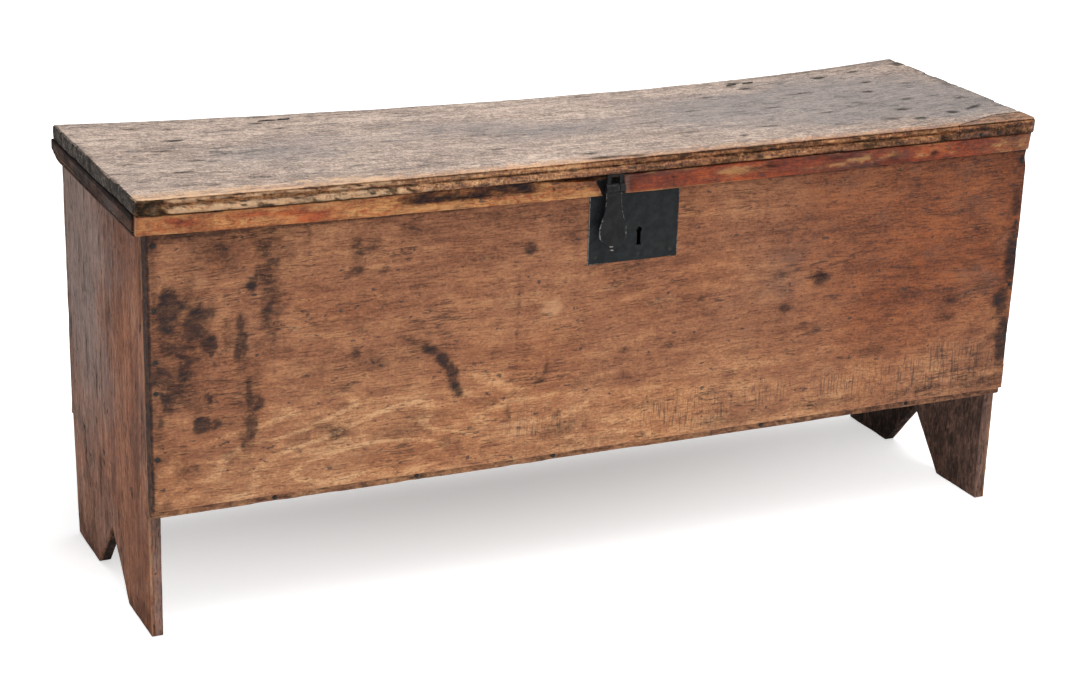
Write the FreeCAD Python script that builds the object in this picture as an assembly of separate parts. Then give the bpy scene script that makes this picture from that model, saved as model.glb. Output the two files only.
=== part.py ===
import FreeCAD, Part
import math
import os

# Six-plank boarded chest: two end boards that run down to the floor as bootjack feet, front and
# back boards nailed over their edges, a bottom board, and a one-plank lid on snipe hinges with a
# cleat, a lip in two lengths, a scarfed corner repair and an iron hasp that a nailed-on lock takes.
#
# Millimetres.  While the pieces are made, X = 0 is midway between the end boards' outer faces,
# Y = 0 is the front edge of the end boards (the back is +Y) and Z = 0 is the floor.  At the very
# end everything is moved so that the origin is the middle of the whole object's footprint.

Vector = FreeCAD.Vector
X_AXIS = Vector(1, 0, 0)
Y_AXIS = Vector(0, 1, 0)
Z_AXIS = Vector(0, 0, 1)

# --- case -------------------------------------------------------------------------------------
case_length = 1100.0            # over the outer faces of the end boards
end_board_thickness = 14.0
end_board_depth = 313.0         # front edge to back edge, above the feet
heel_taper = 9.0                # how far the back edge draws in at the floor
heel_height = 150.0             # where that taper ends
foot_arch_width = 126.0         # the V cut between the two feet of an end board, at the floor
foot_arch_height = 72.0
foot_arch_middle = 151.0        # from the end board's front edge

front_board_thickness = 19.0
front_board_bottom = 147.0
front_board_lid_gap = 5.0       # from its top edge up to the lid, over its middle
front_rebate_height = 11.0      # the set-back strip along the front board's lower edge
front_rebate_depth = 6.0
front_strip_round = 3.0

back_board_thickness = 9.0
back_board_bottom = 150.0
back_board_rise = 2.0           # its top edge above the hinge axis

bottom_board_thickness = 14.0
bottom_board_underside = 147.0

# --- lid --------------------------------------------------------------------------------------
lid_thickness = 17.0
lid_left_overhang = 15.0        # past the left end board's outer face
lid_right_overhang = 2.0        # the right end has lost its cleat and is all but flush
lid_front_overhang = 16.0       # past the front board's face
lid_back_inset = 13.0           # the lid's back edge stops this far short of the end boards'
lid_front_height = 491.0        # underside of the front edge, middle and right, above the floor
lid_front_rise = 5.0            # the left front corner has lifted by this much
lid_back_fall = 15.0            # the back edge's lowest point is this much lower than the front edge
lid_back_low_place = 150.0      # X of that lowest point
lid_back_rise_left = 17.0       # the plank is bowed: both back corners curl up
lid_back_rise_right = 13.0
lid_seat_gap = 1.5              # the lid rides this clear of the end boards
lid_lower_bead = 8.5            # front moulding: lower bead, quirk, upper ovolo
lid_quirk_rise = 1.2
lid_quirk_depth = 2.8
lid_ovolo_width = 6.5
lid_bead_bulge = 1.0
lid_back_round = 2.0
lid_section_count = 13          # cross-sections that the lid's bow is drawn through
lip_section_count = 6

cleat_height = 21.0
cleat_gap = 0.6                 # running clearance beside the end board
cleat_tail = 4.0                # past the lid's back edge
cleat_heel_rise = 9.0           # the back end's underside sweeps up
cleat_heel_length = 38.0

lip_thickness = 11.6
lip_board_gap = 1.6             # between the lip's back face and the front board
lip_end_height = 21.5           # the lip is shallower at the lid's ends than beside the hasp
lip_middle_height = 24.5
lip_edge_round = 2.5
lip_left_end_inset = 2.0        # from the lid's left end
lip_right_end_inset = 7.0       # from the lid's right end
lip_notch_width = 28.0          # the gap that the hasp hangs in
joint_gap = 0.05                # between faces that are nailed or pinned together

patch_length = 114.0            # scarfed repair at the lid's front right corner
patch_depth = 35.5              # from the nose to the joint, at the lid's right end
patch_square_length = 44.0      # where the joint runs along the lid, before it slants to the nose
patch_tip_depth = 5.0           # at the slant's thin end

# --- nails ------------------------------------------------------------------------------------
nail_shank = 2.6                # square shank under the head
nail_point = 0.9                # square shank at its point
nail_head = 7.0                 # across the rose head
nail_head_top = 2.5             # across the flat that the hammer left on it
nail_head_rise = 1.6
board_nail_length = 40.0
cleat_nail_length = 31.0
lip_nail_length = 24.0
patch_nail_length = 30.0
strap_nail_length = 13.0
plate_nail_length = 15.0
plate_nail_head = 5.6           # the plate's nails are beaten down almost level
plate_nail_head_top = 4.2
plate_nail_head_rise = 0.5

front_nail_count = 5            # up each end of the front board
front_nail_low = 72.0           # lowest one above the board's lower edge
front_nail_high = 27.0          # highest one below the board's upper edge
front_nail_stray_left = (0.0, 0.26667, -0.15, -0.18333, 0.0)     # off an even row, in pitches
front_nail_stray_right = (0.15, 0.26667, 0.3, -0.41667, -0.1)
back_nail_low = 25.0
back_nail_count = 4
bottom_nail_count = 5           # along the lower edge, front and back
bottom_nail_pitch = 205.0
bottom_nail_stray = (0.0, -36.0, -71.0, 0.0, 0.0)
bottom_nail_front_drop = 1.0    # the front ones are this much lower than the back ones
bottom_end_nail_depths = (62.0, 176.0, 262.0)            # through each end board, from its front edge
cleat_nail_margin = 40.0
cleat_nail_count = 3
lip_nail_count = 4
lip_nail_margin = 60.0
lip_nail_drop = 11.0            # below the lid's underside, on the lip's face
lip_nail_rake = 58.0            # degrees up from level: driven at a slant into the lid
patch_nail_places = (58.0, 82.0)    # in from the lid's right end

# --- hinges -----------------------------------------------------------------------------------
hinge_offset = 310.0            # each hinge from the middle of the case
hinge_axis_inset = 7.0          # axis in front of the back board's inner face
hinge_axis_drop = 6.0           # axis below the lowest point of the lid's back edge
hinge_wire = 3.2                # diameter of the iron
hinge_eye_hole = 7.2
hinge_loop_width = 10.0         # between the wire centres of the lid's loop
hinge_loop_entry = 20.0         # the loop enters the lid this far in front of the axis
hinge_loop_lean = 14.0          # and comes out of the top this much further forward
hinge_clinch = 15.0             # length of each leg that is bent over
clinch_lift = 0.15              # between a bent-over leg and the wood
eye_shank_drop = 16.0           # the eye's legs slope down by this much through the back board
leg_spread = 0.4                # of the wire: each of those legs from the eye's middle plane

# --- lock -------------------------------------------------------------------------------------
plate_width = 113.0
plate_height = 98.5
plate_drop = 4.0                # its top edge below the front board's
plate_middle = 17.0             # X of the plate's middle
plate_thickness = 2.0
plate_inset = 1.2               # let into the front board
plate_nail_margin = 9.0
plate_low_nail_drop = 2.0       # a fifth nail, under the keyhole, is this much lower than the corners'
keyhole_offset = 7.0            # to the right of the plate's middle
keyhole_rise = 35.5             # centre of its round head above the plate's lower edge
keyhole_head = 7.4              # diameter
keyhole_waist = 4.8
keyhole_foot = 7.0
keyhole_drop = 18.0             # head centre to the bottom of the foot
staple_slot_width = 7.4
staple_slot_height = 27.0
staple_slot_rise = 2.0          # its middle above the hanging staple's, which swings up as it enters
lock_case_width = 88.0
lock_case_height = 64.0
lock_case_rise = 10.5           # its underside above the plate's lower edge
lock_case_depth = 21.0          # from the plate's back into the chest
lock_case_wall = 1.6
lock_mortise_gap = 0.4
bolt_length = 58.0
bolt_height = 7.0
bolt_thickness = 2.6
bolt_plate_gap = 0.3
bolt_rise = 1.5                 # its middle above the hanging staple's
bolt_nose_gap = 4.0             # unlocked, the bolt's nose is this far clear of the slot
talon_width = 11.0              # the notch in the bolt that the key's bit turns in
talon_depth = 3.0
guide_width = 5.0
guide_wall = 1.4
guide_gap = 0.1
guide_nose_inset = 5.0          # middle of the first guide behind the bolt's nose
guide_tail_inset = 8.0          # middle of the second one before the bolt's tail
spring_thickness = 0.9
spring_width = 2.4
spring_gap = 0.1
spring_root_inset = 6.0         # from the lock case's right wall
spring_root_length = 16.0       # flat against the case's top wall
key_post_diameter = 4.0
key_post_plate_gap = 3.4

# --- hasp -------------------------------------------------------------------------------------
hasp_offset = 32.5              # to the left of the plate's middle
hasp_axis_out = 13.0            # pin axis in front of the front board's face
hasp_axis_drop = 15.5           # and this far below the lid's front edge
hasp_barrel = 10.0              # outer diameter of the knuckles
hasp_pin_diameter = 3.6
hasp_pin_gap = 0.08             # radial
hasp_knuckle_width = 23.0       # over all three knuckles
hasp_middle_knuckle = 10.4
hasp_side_gap = 0.3
hasp_pin_overhang = 0.8         # past the outer knuckles, each side
hasp_neck_width = 20.0
hasp_shoulder_width = 23.0
hasp_belly_width = 34.0
hasp_belly_length = 10.0        # of its straight sides
hasp_foot_width = 26.0
hasp_neck_drop = 14.5           # below the pin axis
hasp_leaf_thickness = 2.5
hasp_shoulder_drop = 28.5
hasp_belly_drop = 53.5          # middle of its straight sides
hasp_leaf_drop = 63.5
hasp_flare = 3.6                # the leaf's lower end curls out by this much
hasp_nib_drop = 11.0            # below the leaf's foot
hasp_nib_width = 9.0
hasp_nib_root_width = 12.0
hasp_nib_root_drop = 2.5
hasp_nib_curl = 3.0
staple_drop = 44.5              # its middle below the pin axis
staple_reach = 10.5             # from the leaf's back to the staple's nose
staple_bar = 2.2
staple_span = 17.0              # over both legs
staple_width = 5.0
staple_rest_gap = 0.4           # hanging free, the nose is this clear of the plate
strap_thickness = 2.5
strap_reach = 44.0              # under the lid, behind the end boards' front edge
strap_width = 20.0
strap_nail_insets = (8.0, 26.0)     # from the strap's back end

# --- derived faces and heights ----------------------------------------------------------------
half_case = case_length / 2
front_face = -front_board_thickness
back_face = end_board_depth + back_board_thickness
lid_left = -half_case - lid_left_overhang
lid_right = half_case + lid_right_overhang
lid_front = front_face - lid_front_overhang
lid_back = end_board_depth - lid_back_inset
lid_depth = lid_back - lid_front
lid_back_low = lid_front_height - lid_back_fall
hinge_axis_y = end_board_depth - hinge_axis_inset
hinge_axis_height = lid_back_low - hinge_axis_drop
front_board_top = lid_front_height - front_board_lid_gap
front_nail_span = front_board_top - front_board_bottom - front_nail_low - front_nail_high
front_nail_pitch = front_nail_span / (front_nail_count - 1)
back_board_top = hinge_axis_height + back_board_rise
plate_top = front_board_top - plate_drop
plate_bottom = plate_top - plate_height
plate_front = front_face - plate_thickness + plate_inset
plate_back = plate_front + plate_thickness
keyhole_place = plate_middle + keyhole_offset
keyhole_height = plate_bottom + keyhole_rise
lock_case_bottom = plate_bottom + lock_case_rise
lock_case_top = lock_case_bottom + lock_case_height
hasp_place = plate_middle - hasp_offset
hasp_axis_y = front_face - hasp_axis_out
hasp_axis_height = lid_front_height - hasp_axis_drop
hasp_leaf_bottom = hasp_axis_height - hasp_leaf_drop
hasp_shoulder_height = hasp_axis_height - hasp_shoulder_drop
hasp_belly_height = hasp_axis_height - hasp_belly_drop
staple_height = hasp_axis_height - staple_drop
leaf_back = plate_front - staple_rest_gap - staple_reach
lip_back = front_face - lip_board_gap
lip_front = lip_back - lip_thickness
lip_left_ends = (lid_left + lip_left_end_inset, hasp_place - lip_notch_width / 2)
lip_right_ends = (hasp_place + lip_notch_width / 2, lid_right - lip_right_end_inset)
cleat_left = lid_left
cleat_right = -half_case - cleat_gap
cleat_front = lip_back
cleat_back = lid_back + cleat_tail
cleat_bottom = lid_back_low + lid_back_rise_left - cleat_height
slot_middle = staple_height + staple_slot_rise
bolt_front = plate_back + bolt_plate_gap
bolt_back = bolt_front + bolt_thickness
bolt_low = staple_height + bolt_rise - bolt_height / 2


# --- helpers ----------------------------------------------------------------------------------
def slab(x0, x1, y0, y1, z0, z1):
    """A square-edged board between six planes."""
    return Part.makeBox(x1 - x0, y1 - y0, z1 - z0, Vector(x0, y0, z0))


def profile_yz(outline, x0, x1):
    """A (y, z) outline pushed along X from x0 to x1."""
    corners = [Vector(x0, y, z) for y, z in outline]
    face = Part.Face(Part.makePolygon(corners + corners[:1]))
    return face.extrude(Vector(x1 - x0, 0, 0))


def profile_xz(outline, y0, y1):
    """An (x, z) outline pushed along Y from y0 to y1."""
    corners = [Vector(x, y0, z) for x, z in outline]
    face = Part.Face(Part.makePolygon(corners + corners[:1]))
    return face.extrude(Vector(0, y1 - y0, 0))


def rod(start, end, diameter):
    """A round bar from one point to another."""
    run = end - start
    return Part.makeCylinder(diameter / 2, run.Length, start, run)


def bent_rod(points, diameter):
    """A round bar that follows straight runs, with ball corners where it is bent."""
    runs = [rod(a, b, diameter) for a, b in zip(points, points[1:])]
    bends = [Part.makeSphere(diameter / 2, p) for p in points[1:-1]]
    return runs[0].fuse(runs[1:] + bends).removeSplitter()


def ring(centre, axis, hole, outside, width):
    """A flat-sided ring centred on a point of its own axis."""
    start = centre - axis * (width / 2)
    outer = Part.makeCylinder(outside / 2, width, start, axis)
    return outer.cut(Part.makeCylinder(hole / 2, width, start, axis))


def turned(shape, place, direction):
    """Moves a shape made along +Z at the origin so that it points along a direction at a place."""
    copy = shape.copy()
    copy.Placement = FreeCAD.Placement(place, FreeCAD.Rotation(Z_AXIS, direction))
    return copy


def square(width, height):
    """The four corners of a level square on the Z axis."""
    half = width / 2
    corners = ((-half, -half), (half, -half), (half, half), (-half, half))
    return [Vector(x, y, height) for x, y in corners]


def frustum(low, low_width, high, high_width):
    """A square bar on the Z axis that tapers between two heights."""
    bottom = square(low_width, low)
    top = square(high_width, high)
    loops = [bottom, top]
    for i in range(4):
        j = (i + 1) % 4
        loops.append([bottom[i], bottom[j], top[j], top[i]])
    faces = [Part.Face(Part.makePolygon(loop + loop[:1])) for loop in loops]
    return Part.makeSolid(Part.makeShell(faces))


def rose_nail(place, outward, length):
    """A wrought nail: a faceted head standing on the surface at a place, and a tapered shank."""
    head = frustum(0.0, nail_head, nail_head_rise, nail_head_top)
    shank = frustum(-length, nail_point, 0.0, nail_shank)
    return turned(head.fuse(shank), place, outward)


def loft_along_x(places, section):
    """A solid through the closed sections that section(x) gives at each place."""
    return Part.makeLoft([section(x) for x in places], True, False)


# --- the lid's bowed shape --------------------------------------------------------------------
def lid_front_underside(x):
    """Height of the underside along the front edge: the left corner has lifted."""
    toward_left = max(0.0, x / lid_left)
    return lid_front_height + lid_front_rise * toward_left ** 2


def lid_back_underside(x):
    """Height of the underside along the back edge: lowest near the middle, up at both ends."""
    if x < lid_back_low_place:
        share = (x - lid_back_low_place) / (lid_left - lid_back_low_place)
        return lid_back_low + lid_back_rise_left * share ** 2
    share = (x - lid_back_low_place) / (lid_right - lid_back_low_place)
    return lid_back_low + lid_back_rise_right * share ** 2


def lid_underside(x, y):
    """Height of the lid's underside anywhere."""
    share = (y - lid_front) / lid_depth
    return lid_front_underside(x) * (1 - share) + lid_back_underside(x) * share


def stations(x0, x1, count):
    """Evenly spaced places between two ends, both included."""
    return [x0 + (x1 - x0) * i / (count - 1) for i in range(count)]


def lid_section(x):
    """The lid's cross-section: a moulded front edge, flat faces and a softened back edge."""
    quirk = lid_lower_bead + lid_quirk_rise
    diagonal = math.sqrt(0.5)

    def at(inward, up):
        y = lid_front + inward
        return Vector(x, y, lid_underside(x, y) + up)

    bead_low = at(lid_bead_bulge, 0)
    bead_high = at(lid_bead_bulge, lid_lower_bead)
    lower_bead = Part.Arc(bead_low, at(0, lid_lower_bead / 2), bead_high)
    ovolo_start = at(lid_quirk_depth, quirk)
    ovolo_end = at(lid_quirk_depth + lid_ovolo_width, lid_thickness)
    ovolo_middle = at(
        lid_quirk_depth + lid_ovolo_width * (1 - diagonal),
        quirk + (lid_thickness - quirk) * diagonal,
    )
    back_top = at(lid_depth - lid_back_round, lid_thickness)
    back_turn = at(lid_depth, lid_thickness - lid_back_round)
    back_low = at(lid_depth, 0)
    edges = [
        lower_bead.toShape(),
        Part.makeLine(at(lid_bead_bulge, lid_lower_bead), ovolo_start),
        Part.Arc(ovolo_start, ovolo_middle, ovolo_end).toShape(),
        Part.makeLine(ovolo_end, back_top),
        Part.makeLine(back_top, back_turn),
        Part.makeLine(back_turn, back_low),
        Part.makeLine(back_low, at(lid_bead_bulge, 0)),
    ]
    return Part.Wire(edges)


def lip_height(x):
    """How far the lip hangs below the lid: less at the lid's ends than beside the hasp."""
    end = lid_left if x < hasp_place else lid_right
    share = (x - hasp_place) / (end - hasp_place)
    return lip_middle_height + (lip_end_height - lip_middle_height) * share


def lip_section(x):
    """The lip's cross-section under the lid, with its lower front edge rounded."""
    top_front = lid_underside(x, lip_front) - joint_gap
    top_back = lid_underside(x, lip_back) - joint_gap
    bottom = lid_front_underside(x) - lip_height(x)
    corner = lip_edge_round * (1 - math.sqrt(0.5))
    edges = [
        Part.makeLine(Vector(x, lip_front, top_front), Vector(x, lip_front, bottom + lip_edge_round)),
        Part.Arc(
            Vector(x, lip_front, bottom + lip_edge_round),
            Vector(x, lip_front + corner, bottom + corner),
            Vector(x, lip_front + lip_edge_round, bottom),
        ).toShape(),
        Part.makeLine(Vector(x, lip_front + lip_edge_round, bottom), Vector(x, lip_back, bottom)),
        Part.makeLine(Vector(x, lip_back, bottom), Vector(x, lip_back, top_back)),
        Part.makeLine(Vector(x, lip_back, top_back), Vector(x, lip_front, top_front)),
    ]
    return Part.Wire(edges)


# --- nails ------------------------------------------------------------------------------------
def front_nails():
    """The rows up the two ends of the front board, driven into the end boards' edges."""
    nails = []
    middle = half_case - end_board_thickness / 2
    for x, strays in ((-middle, front_nail_stray_left), (middle, front_nail_stray_right)):
        for i in range(front_nail_count):
            height = front_board_bottom + front_nail_low + (i + strays[i]) * front_nail_pitch
            nails.append(rose_nail(Vector(x, front_face, height), -Y_AXIS, board_nail_length))
    return nails


def back_nails():
    """The rows up the two ends of the back board."""
    nails = []
    middle = half_case - end_board_thickness / 2
    pitch = (back_board_top - back_board_bottom - 2 * back_nail_low) / (back_nail_count - 1)
    for x in (-middle, middle):
        for i in range(back_nail_count):
            height = back_board_bottom + back_nail_low + i * pitch
            nails.append(rose_nail(Vector(x, back_face, height), Y_AXIS, board_nail_length))
    return nails


def bottom_nails():
    """Nails through the front, back and end boards into the edges of the bottom board."""
    nails = []
    height = bottom_board_underside + bottom_board_thickness / 2
    front = front_face + front_rebate_depth
    for i in range(bottom_nail_count):
        along = (i - (bottom_nail_count - 1) / 2) * bottom_nail_pitch
        front_place = Vector(along + bottom_nail_stray[i], front, height - bottom_nail_front_drop)
        nails.append(rose_nail(front_place, -Y_AXIS, board_nail_length))
        nails.append(rose_nail(Vector(along, back_face, height), Y_AXIS, board_nail_length))
    for side in (-1, 1):
        for depth in bottom_end_nail_depths:
            place = Vector(side * half_case, depth, height)
            nails.append(rose_nail(place, X_AXIS * side, board_nail_length))
    return nails


def cleat_nails():
    """Driven up through the cleat into the lid."""
    nails = []
    x = (cleat_left + cleat_right) / 2
    run = cleat_back - cleat_front - 2 * cleat_nail_margin
    for i in range(cleat_nail_count):
        y = cleat_front + cleat_nail_margin + run * i / (cleat_nail_count - 1)
        nails.append(rose_nail(Vector(x, y, cleat_bottom), -Z_AXIS, cleat_nail_length))
    return nails


def lip_nails():
    """Driven in at a slant through the face of each lip into the lid."""
    nails = []
    rake = math.radians(lip_nail_rake)
    outward = Vector(0, -math.cos(rake), -math.sin(rake))
    for x0, x1 in (lip_left_ends, lip_right_ends):
        run = x1 - x0 - 2 * lip_nail_margin
        for i in range(lip_nail_count):
            x = x0 + lip_nail_margin + run * i / (lip_nail_count - 1)
            height = lid_underside(x, lip_front) - lip_nail_drop
            nails.append(rose_nail(Vector(x, lip_front, height), outward, lip_nail_length))
    return nails


def patch_nails():
    """Two nails through the front of the corner patch."""
    nails = []
    for inset in patch_nail_places:
        x = lid_right - inset
        height = lid_underside(x, lid_front) + lid_lower_bead / 2
        nails.append(rose_nail(Vector(x, lid_front, height), -Y_AXIS, patch_nail_length))
    return nails


# --- case boards ------------------------------------------------------------------------------
def end_board(side):
    """An end board with its bootjack feet: side is -1 on the left and 1 on the right."""
    arch_front = foot_arch_middle - foot_arch_width / 2
    arch_back = foot_arch_middle + foot_arch_width / 2
    edge = side * half_case
    outline = [
        (0.0, 0.0),
        (arch_front, 0.0),
        (foot_arch_middle, foot_arch_height),
        (arch_back, 0.0),
        (end_board_depth - heel_taper, 0.0),
        (end_board_depth, heel_height),
        (end_board_depth, lid_underside(edge, end_board_depth) - lid_seat_gap),
        (0.0, lid_underside(edge, 0.0) - lid_seat_gap),
    ]
    return profile_yz(outline, edge, edge - side * end_board_thickness)


def front_board():
    """The front: a set-back strip along the lower edge, and the lock's bed cut into the face."""
    rebate_top = front_board_bottom + front_rebate_height
    strip_face = front_face + front_rebate_depth
    outline = [
        (0.0, front_board_bottom),
        (0.0, front_board_top),
        (front_face, front_board_top),
        (front_face, rebate_top),
        (strip_face, rebate_top),
        (strip_face, front_board_bottom + front_strip_round),
        (strip_face + front_strip_round, front_board_bottom),
    ]
    board = profile_yz(outline, -half_case, half_case)
    plate_bed = slab(
        plate_middle - plate_width / 2,
        plate_middle + plate_width / 2,
        front_face,
        plate_back,
        plate_bottom,
        plate_top,
    )
    gap = lock_mortise_gap
    mortise = slab(
        plate_middle - lock_case_width / 2 - gap,
        plate_middle + lock_case_width / 2 + gap,
        plate_back,
        0.0,
        lock_case_bottom - gap,
        lock_case_top + gap,
    )
    return board.cut([plate_bed, mortise])


def back_board():
    return slab(-half_case, half_case, end_board_depth, back_face, back_board_bottom, back_board_top)


def bottom_board():
    inner = half_case - end_board_thickness
    top = bottom_board_underside + bottom_board_thickness
    return slab(-inner, inner, 0.0, end_board_depth, bottom_board_underside, top)


# --- hinges -----------------------------------------------------------------------------------
def hinge_eye(x):
    """The case half of a snipe hinge: an eye whose two legs slope down through the back board
    side by side and are bent apart outside."""
    centre = Vector(x, hinge_axis_y, hinge_axis_height)
    eye_radius = (hinge_eye_hole + hinge_wire) / 2
    eye = Part.makeTorus(eye_radius, hinge_wire / 2, centre, X_AXIS)
    outside = back_face + hinge_wire / 2 + clinch_lift
    down = Vector(x, outside, hinge_axis_height - eye_shank_drop) - centre
    start = centre + down * (eye_radius / down.Length)
    legs = []
    for sign in (-1, 1):
        aside = X_AXIS * (sign * hinge_wire * leg_spread)
        end = X_AXIS * (sign * hinge_clinch)
        legs.append(bent_rod([start + aside, centre + down + aside, centre + down + end], hinge_wire))
    return eye.fuse(legs).removeSplitter()


def hinge_loop(x):
    """The lid half: a crossbar through the eye, two legs up through the lid, bent over on top."""
    half = hinge_loop_width / 2
    entry_y = hinge_axis_y - hinge_loop_entry
    exit_y = entry_y - hinge_loop_lean
    lift = hinge_wire / 2 + clinch_lift

    def side_of(sign):
        leg_x = x + sign * half
        end_x = leg_x + sign * hinge_clinch
        top = lid_underside(leg_x, exit_y) + lid_thickness + lift
        end_top = lid_underside(end_x, exit_y) + lid_thickness + lift
        return [
            Vector(leg_x, hinge_axis_y, hinge_axis_height),
            Vector(leg_x, entry_y, lid_underside(leg_x, entry_y) + hinge_wire / 2),
            Vector(leg_x, exit_y, top),
            Vector(end_x, exit_y, end_top),
        ]

    left = side_of(-1)
    return bent_rod(left[::-1] + side_of(1), hinge_wire)


# --- lock -------------------------------------------------------------------------------------
def keyhole():
    """The keyhole's outline, cut through the plate: a round head, a waist and a flared foot."""
    head = Part.makeCylinder(
        keyhole_head / 2, plate_thickness, Vector(keyhole_place, plate_front, keyhole_height), Y_AXIS
    )
    bottom = keyhole_height - keyhole_drop
    waist = keyhole_waist / 2
    foot = keyhole_foot / 2
    outline = [
        (keyhole_place - waist, keyhole_height),
        (keyhole_place - waist, bottom + foot),
        (keyhole_place - foot, bottom),
        (keyhole_place + foot, bottom),
        (keyhole_place + waist, bottom + foot),
        (keyhole_place + waist, keyhole_height),
    ]
    return head.fuse(profile_xz(outline, plate_front, plate_back))


def lock_plate():
    """The iron plate, with its keyhole and the upright slot that takes the hasp's staple."""
    plate = slab(
        plate_middle - plate_width / 2,
        plate_middle + plate_width / 2,
        plate_front,
        plate_back,
        plate_bottom,
        plate_top,
    )
    slot = slab(
        hasp_place - staple_slot_width / 2,
        hasp_place + staple_slot_width / 2,
        plate_front,
        plate_back,
        slot_middle - staple_slot_height / 2,
        slot_middle + staple_slot_height / 2,
    )
    return plate.cut([keyhole(), slot])


def lock_plate_nails():
    """Nails at the plate's corners, and one between the lower two."""
    left = plate_middle - plate_width / 2 + plate_nail_margin
    right = plate_middle + plate_width / 2 - plate_nail_margin
    low = plate_bottom + plate_nail_margin
    high = plate_top - plate_nail_margin
    places = [(left, low), (right, low), (left, high), (right, high)]
    places.append((keyhole_place, low - plate_low_nail_drop))
    return [plate_nail(Vector(x, plate_front, z)) for x, z in places]


def plate_nail(place):
    """A flat-headed nail, its head beaten down level with the plate's scale."""
    head = frustum(0.0, plate_nail_head, plate_nail_head_rise, plate_nail_head_top)
    shank = frustum(-plate_nail_length, nail_point, 0.0, nail_shank)
    return turned(head.fuse(shank), place, -Y_AXIS)


def lock_case():
    """The open-fronted iron box behind the plate."""
    x0 = plate_middle - lock_case_width / 2
    x1 = plate_middle + lock_case_width / 2
    back = plate_back + lock_case_depth
    outside = slab(x0, x1, plate_back, back, lock_case_bottom, lock_case_top)
    wall = lock_case_wall
    low, high = lock_case_bottom + wall, lock_case_top - wall
    inside = slab(x0 + wall, x1 - wall, plate_back, back - wall, low, high)
    return outside.cut(inside)


def lock_bolt():
    """The sliding bolt, drawn back, with the notch that the key's bit turns in."""
    nose = hasp_place + staple_slot_width / 2 + bolt_nose_gap
    bar = slab(nose, nose + bolt_length, bolt_front, bolt_back, bolt_low, bolt_low + bolt_height)
    talon = slab(
        keyhole_place - talon_width / 2,
        keyhole_place + talon_width / 2,
        bolt_front,
        bolt_back,
        bolt_low,
        bolt_low + talon_depth,
    )
    return bar.cut(talon)


def bolt_guides():
    """Two iron bridges riveted behind the plate, which hold the bolt up to it."""
    guides = []
    nose = hasp_place + staple_slot_width / 2 + bolt_nose_gap
    for middle in (nose + guide_nose_inset, nose + bolt_length - guide_tail_inset):
        low = bolt_low - guide_gap
        high = bolt_low + bolt_height + guide_gap
        back = bolt_back + guide_gap
        x0 = middle - guide_width / 2
        x1 = middle + guide_width / 2
        outside = slab(x0, x1, plate_back, back + guide_wall, low - guide_wall, high + guide_wall)
        guides.append(outside.cut(slab(x0, x1, plate_back, back, low, high)))
    return guides


def bolt_spring():
    """A flat iron spring fixed under the case's top wall, its free end over the bolt."""
    top = lock_case_top - lock_case_wall
    low = bolt_low + bolt_height + spring_gap
    root = plate_middle + lock_case_width / 2 - lock_case_wall - spring_root_inset
    bend = root - spring_root_length
    tip = hasp_place + staple_slot_width / 2 + bolt_nose_gap + bolt_length / 2
    outline = [
        (root, top),
        (root, top - spring_thickness),
        (bend, top - spring_thickness),
        (tip, low),
        (tip, low + spring_thickness),
        (bend - spring_thickness, top),
    ]
    return profile_xz(outline, bolt_front, bolt_front + spring_width)


def key_post():
    """The round post in the lock that a pipe key turns on."""
    start = plate_back + key_post_plate_gap
    end = plate_back + lock_case_depth - lock_case_wall
    place = Vector(keyhole_place, start, keyhole_height)
    return Part.makeCylinder(key_post_diameter / 2, end - start, place, Y_AXIS)


# --- hasp -------------------------------------------------------------------------------------
def hasp_knuckle(x0, x1):
    """One knuckle of the hasp's hinge, bored for the pin."""
    centre = Vector((x0 + x1) / 2, hasp_axis_y, hasp_axis_height)
    return ring(centre, X_AXIS, hasp_pin_diameter + 2 * hasp_pin_gap, hasp_barrel, x1 - x0)


def hasp_strap():
    """The strap nailed under the lid, turned down at the front into the two outer knuckles."""
    half_strap = strap_width / 2
    half_barrel = hasp_knuckle_width / 2
    half_slot = hasp_middle_knuckle / 2 + hasp_side_gap
    front = hasp_axis_y - strap_thickness / 2

    def under(y):
        return lid_underside(hasp_place, y) - joint_gap

    flat = profile_yz(
        [
            (front, under(front)),
            (strap_reach, under(strap_reach)),
            (strap_reach, under(strap_reach) - strap_thickness),
            (front, under(front) - strap_thickness),
        ],
        hasp_place - half_strap,
        hasp_place + half_strap,
    )
    cheek_top = under(front) - strap_thickness / 2
    pieces = []
    for x0, x1 in ((-half_barrel, -half_slot), (half_slot, half_barrel)):
        knuckle = hasp_knuckle(hasp_place + x0, hasp_place + x1)
        inner = max(x0, -half_strap)
        outer = min(x1, half_strap)
        cheek = slab(
            hasp_place + inner,
            hasp_place + outer,
            front,
            front + strap_thickness,
            hasp_axis_height + hasp_barrel / 2 - strap_thickness,
            cheek_top,
        )
        pieces += [knuckle, cheek]
    return flat.fuse(pieces).removeSplitter()


def strap_nails():
    """Two nails up through the strap into the lid."""
    nails = []
    for inset in strap_nail_insets:
        y = strap_reach - inset
        height = lid_underside(hasp_place, y) - joint_gap - strap_thickness
        nails.append(rose_nail(Vector(hasp_place, y, height), -Z_AXIS, strap_nail_length))
    return nails


def hasp_pin():
    """The pin through the three knuckles."""
    half = hasp_knuckle_width / 2 + hasp_pin_overhang
    middle = Vector(hasp_place, hasp_axis_y, hasp_axis_height)
    return rod(middle - X_AXIS * half, middle + X_AXIS * half, hasp_pin_diameter)


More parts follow.
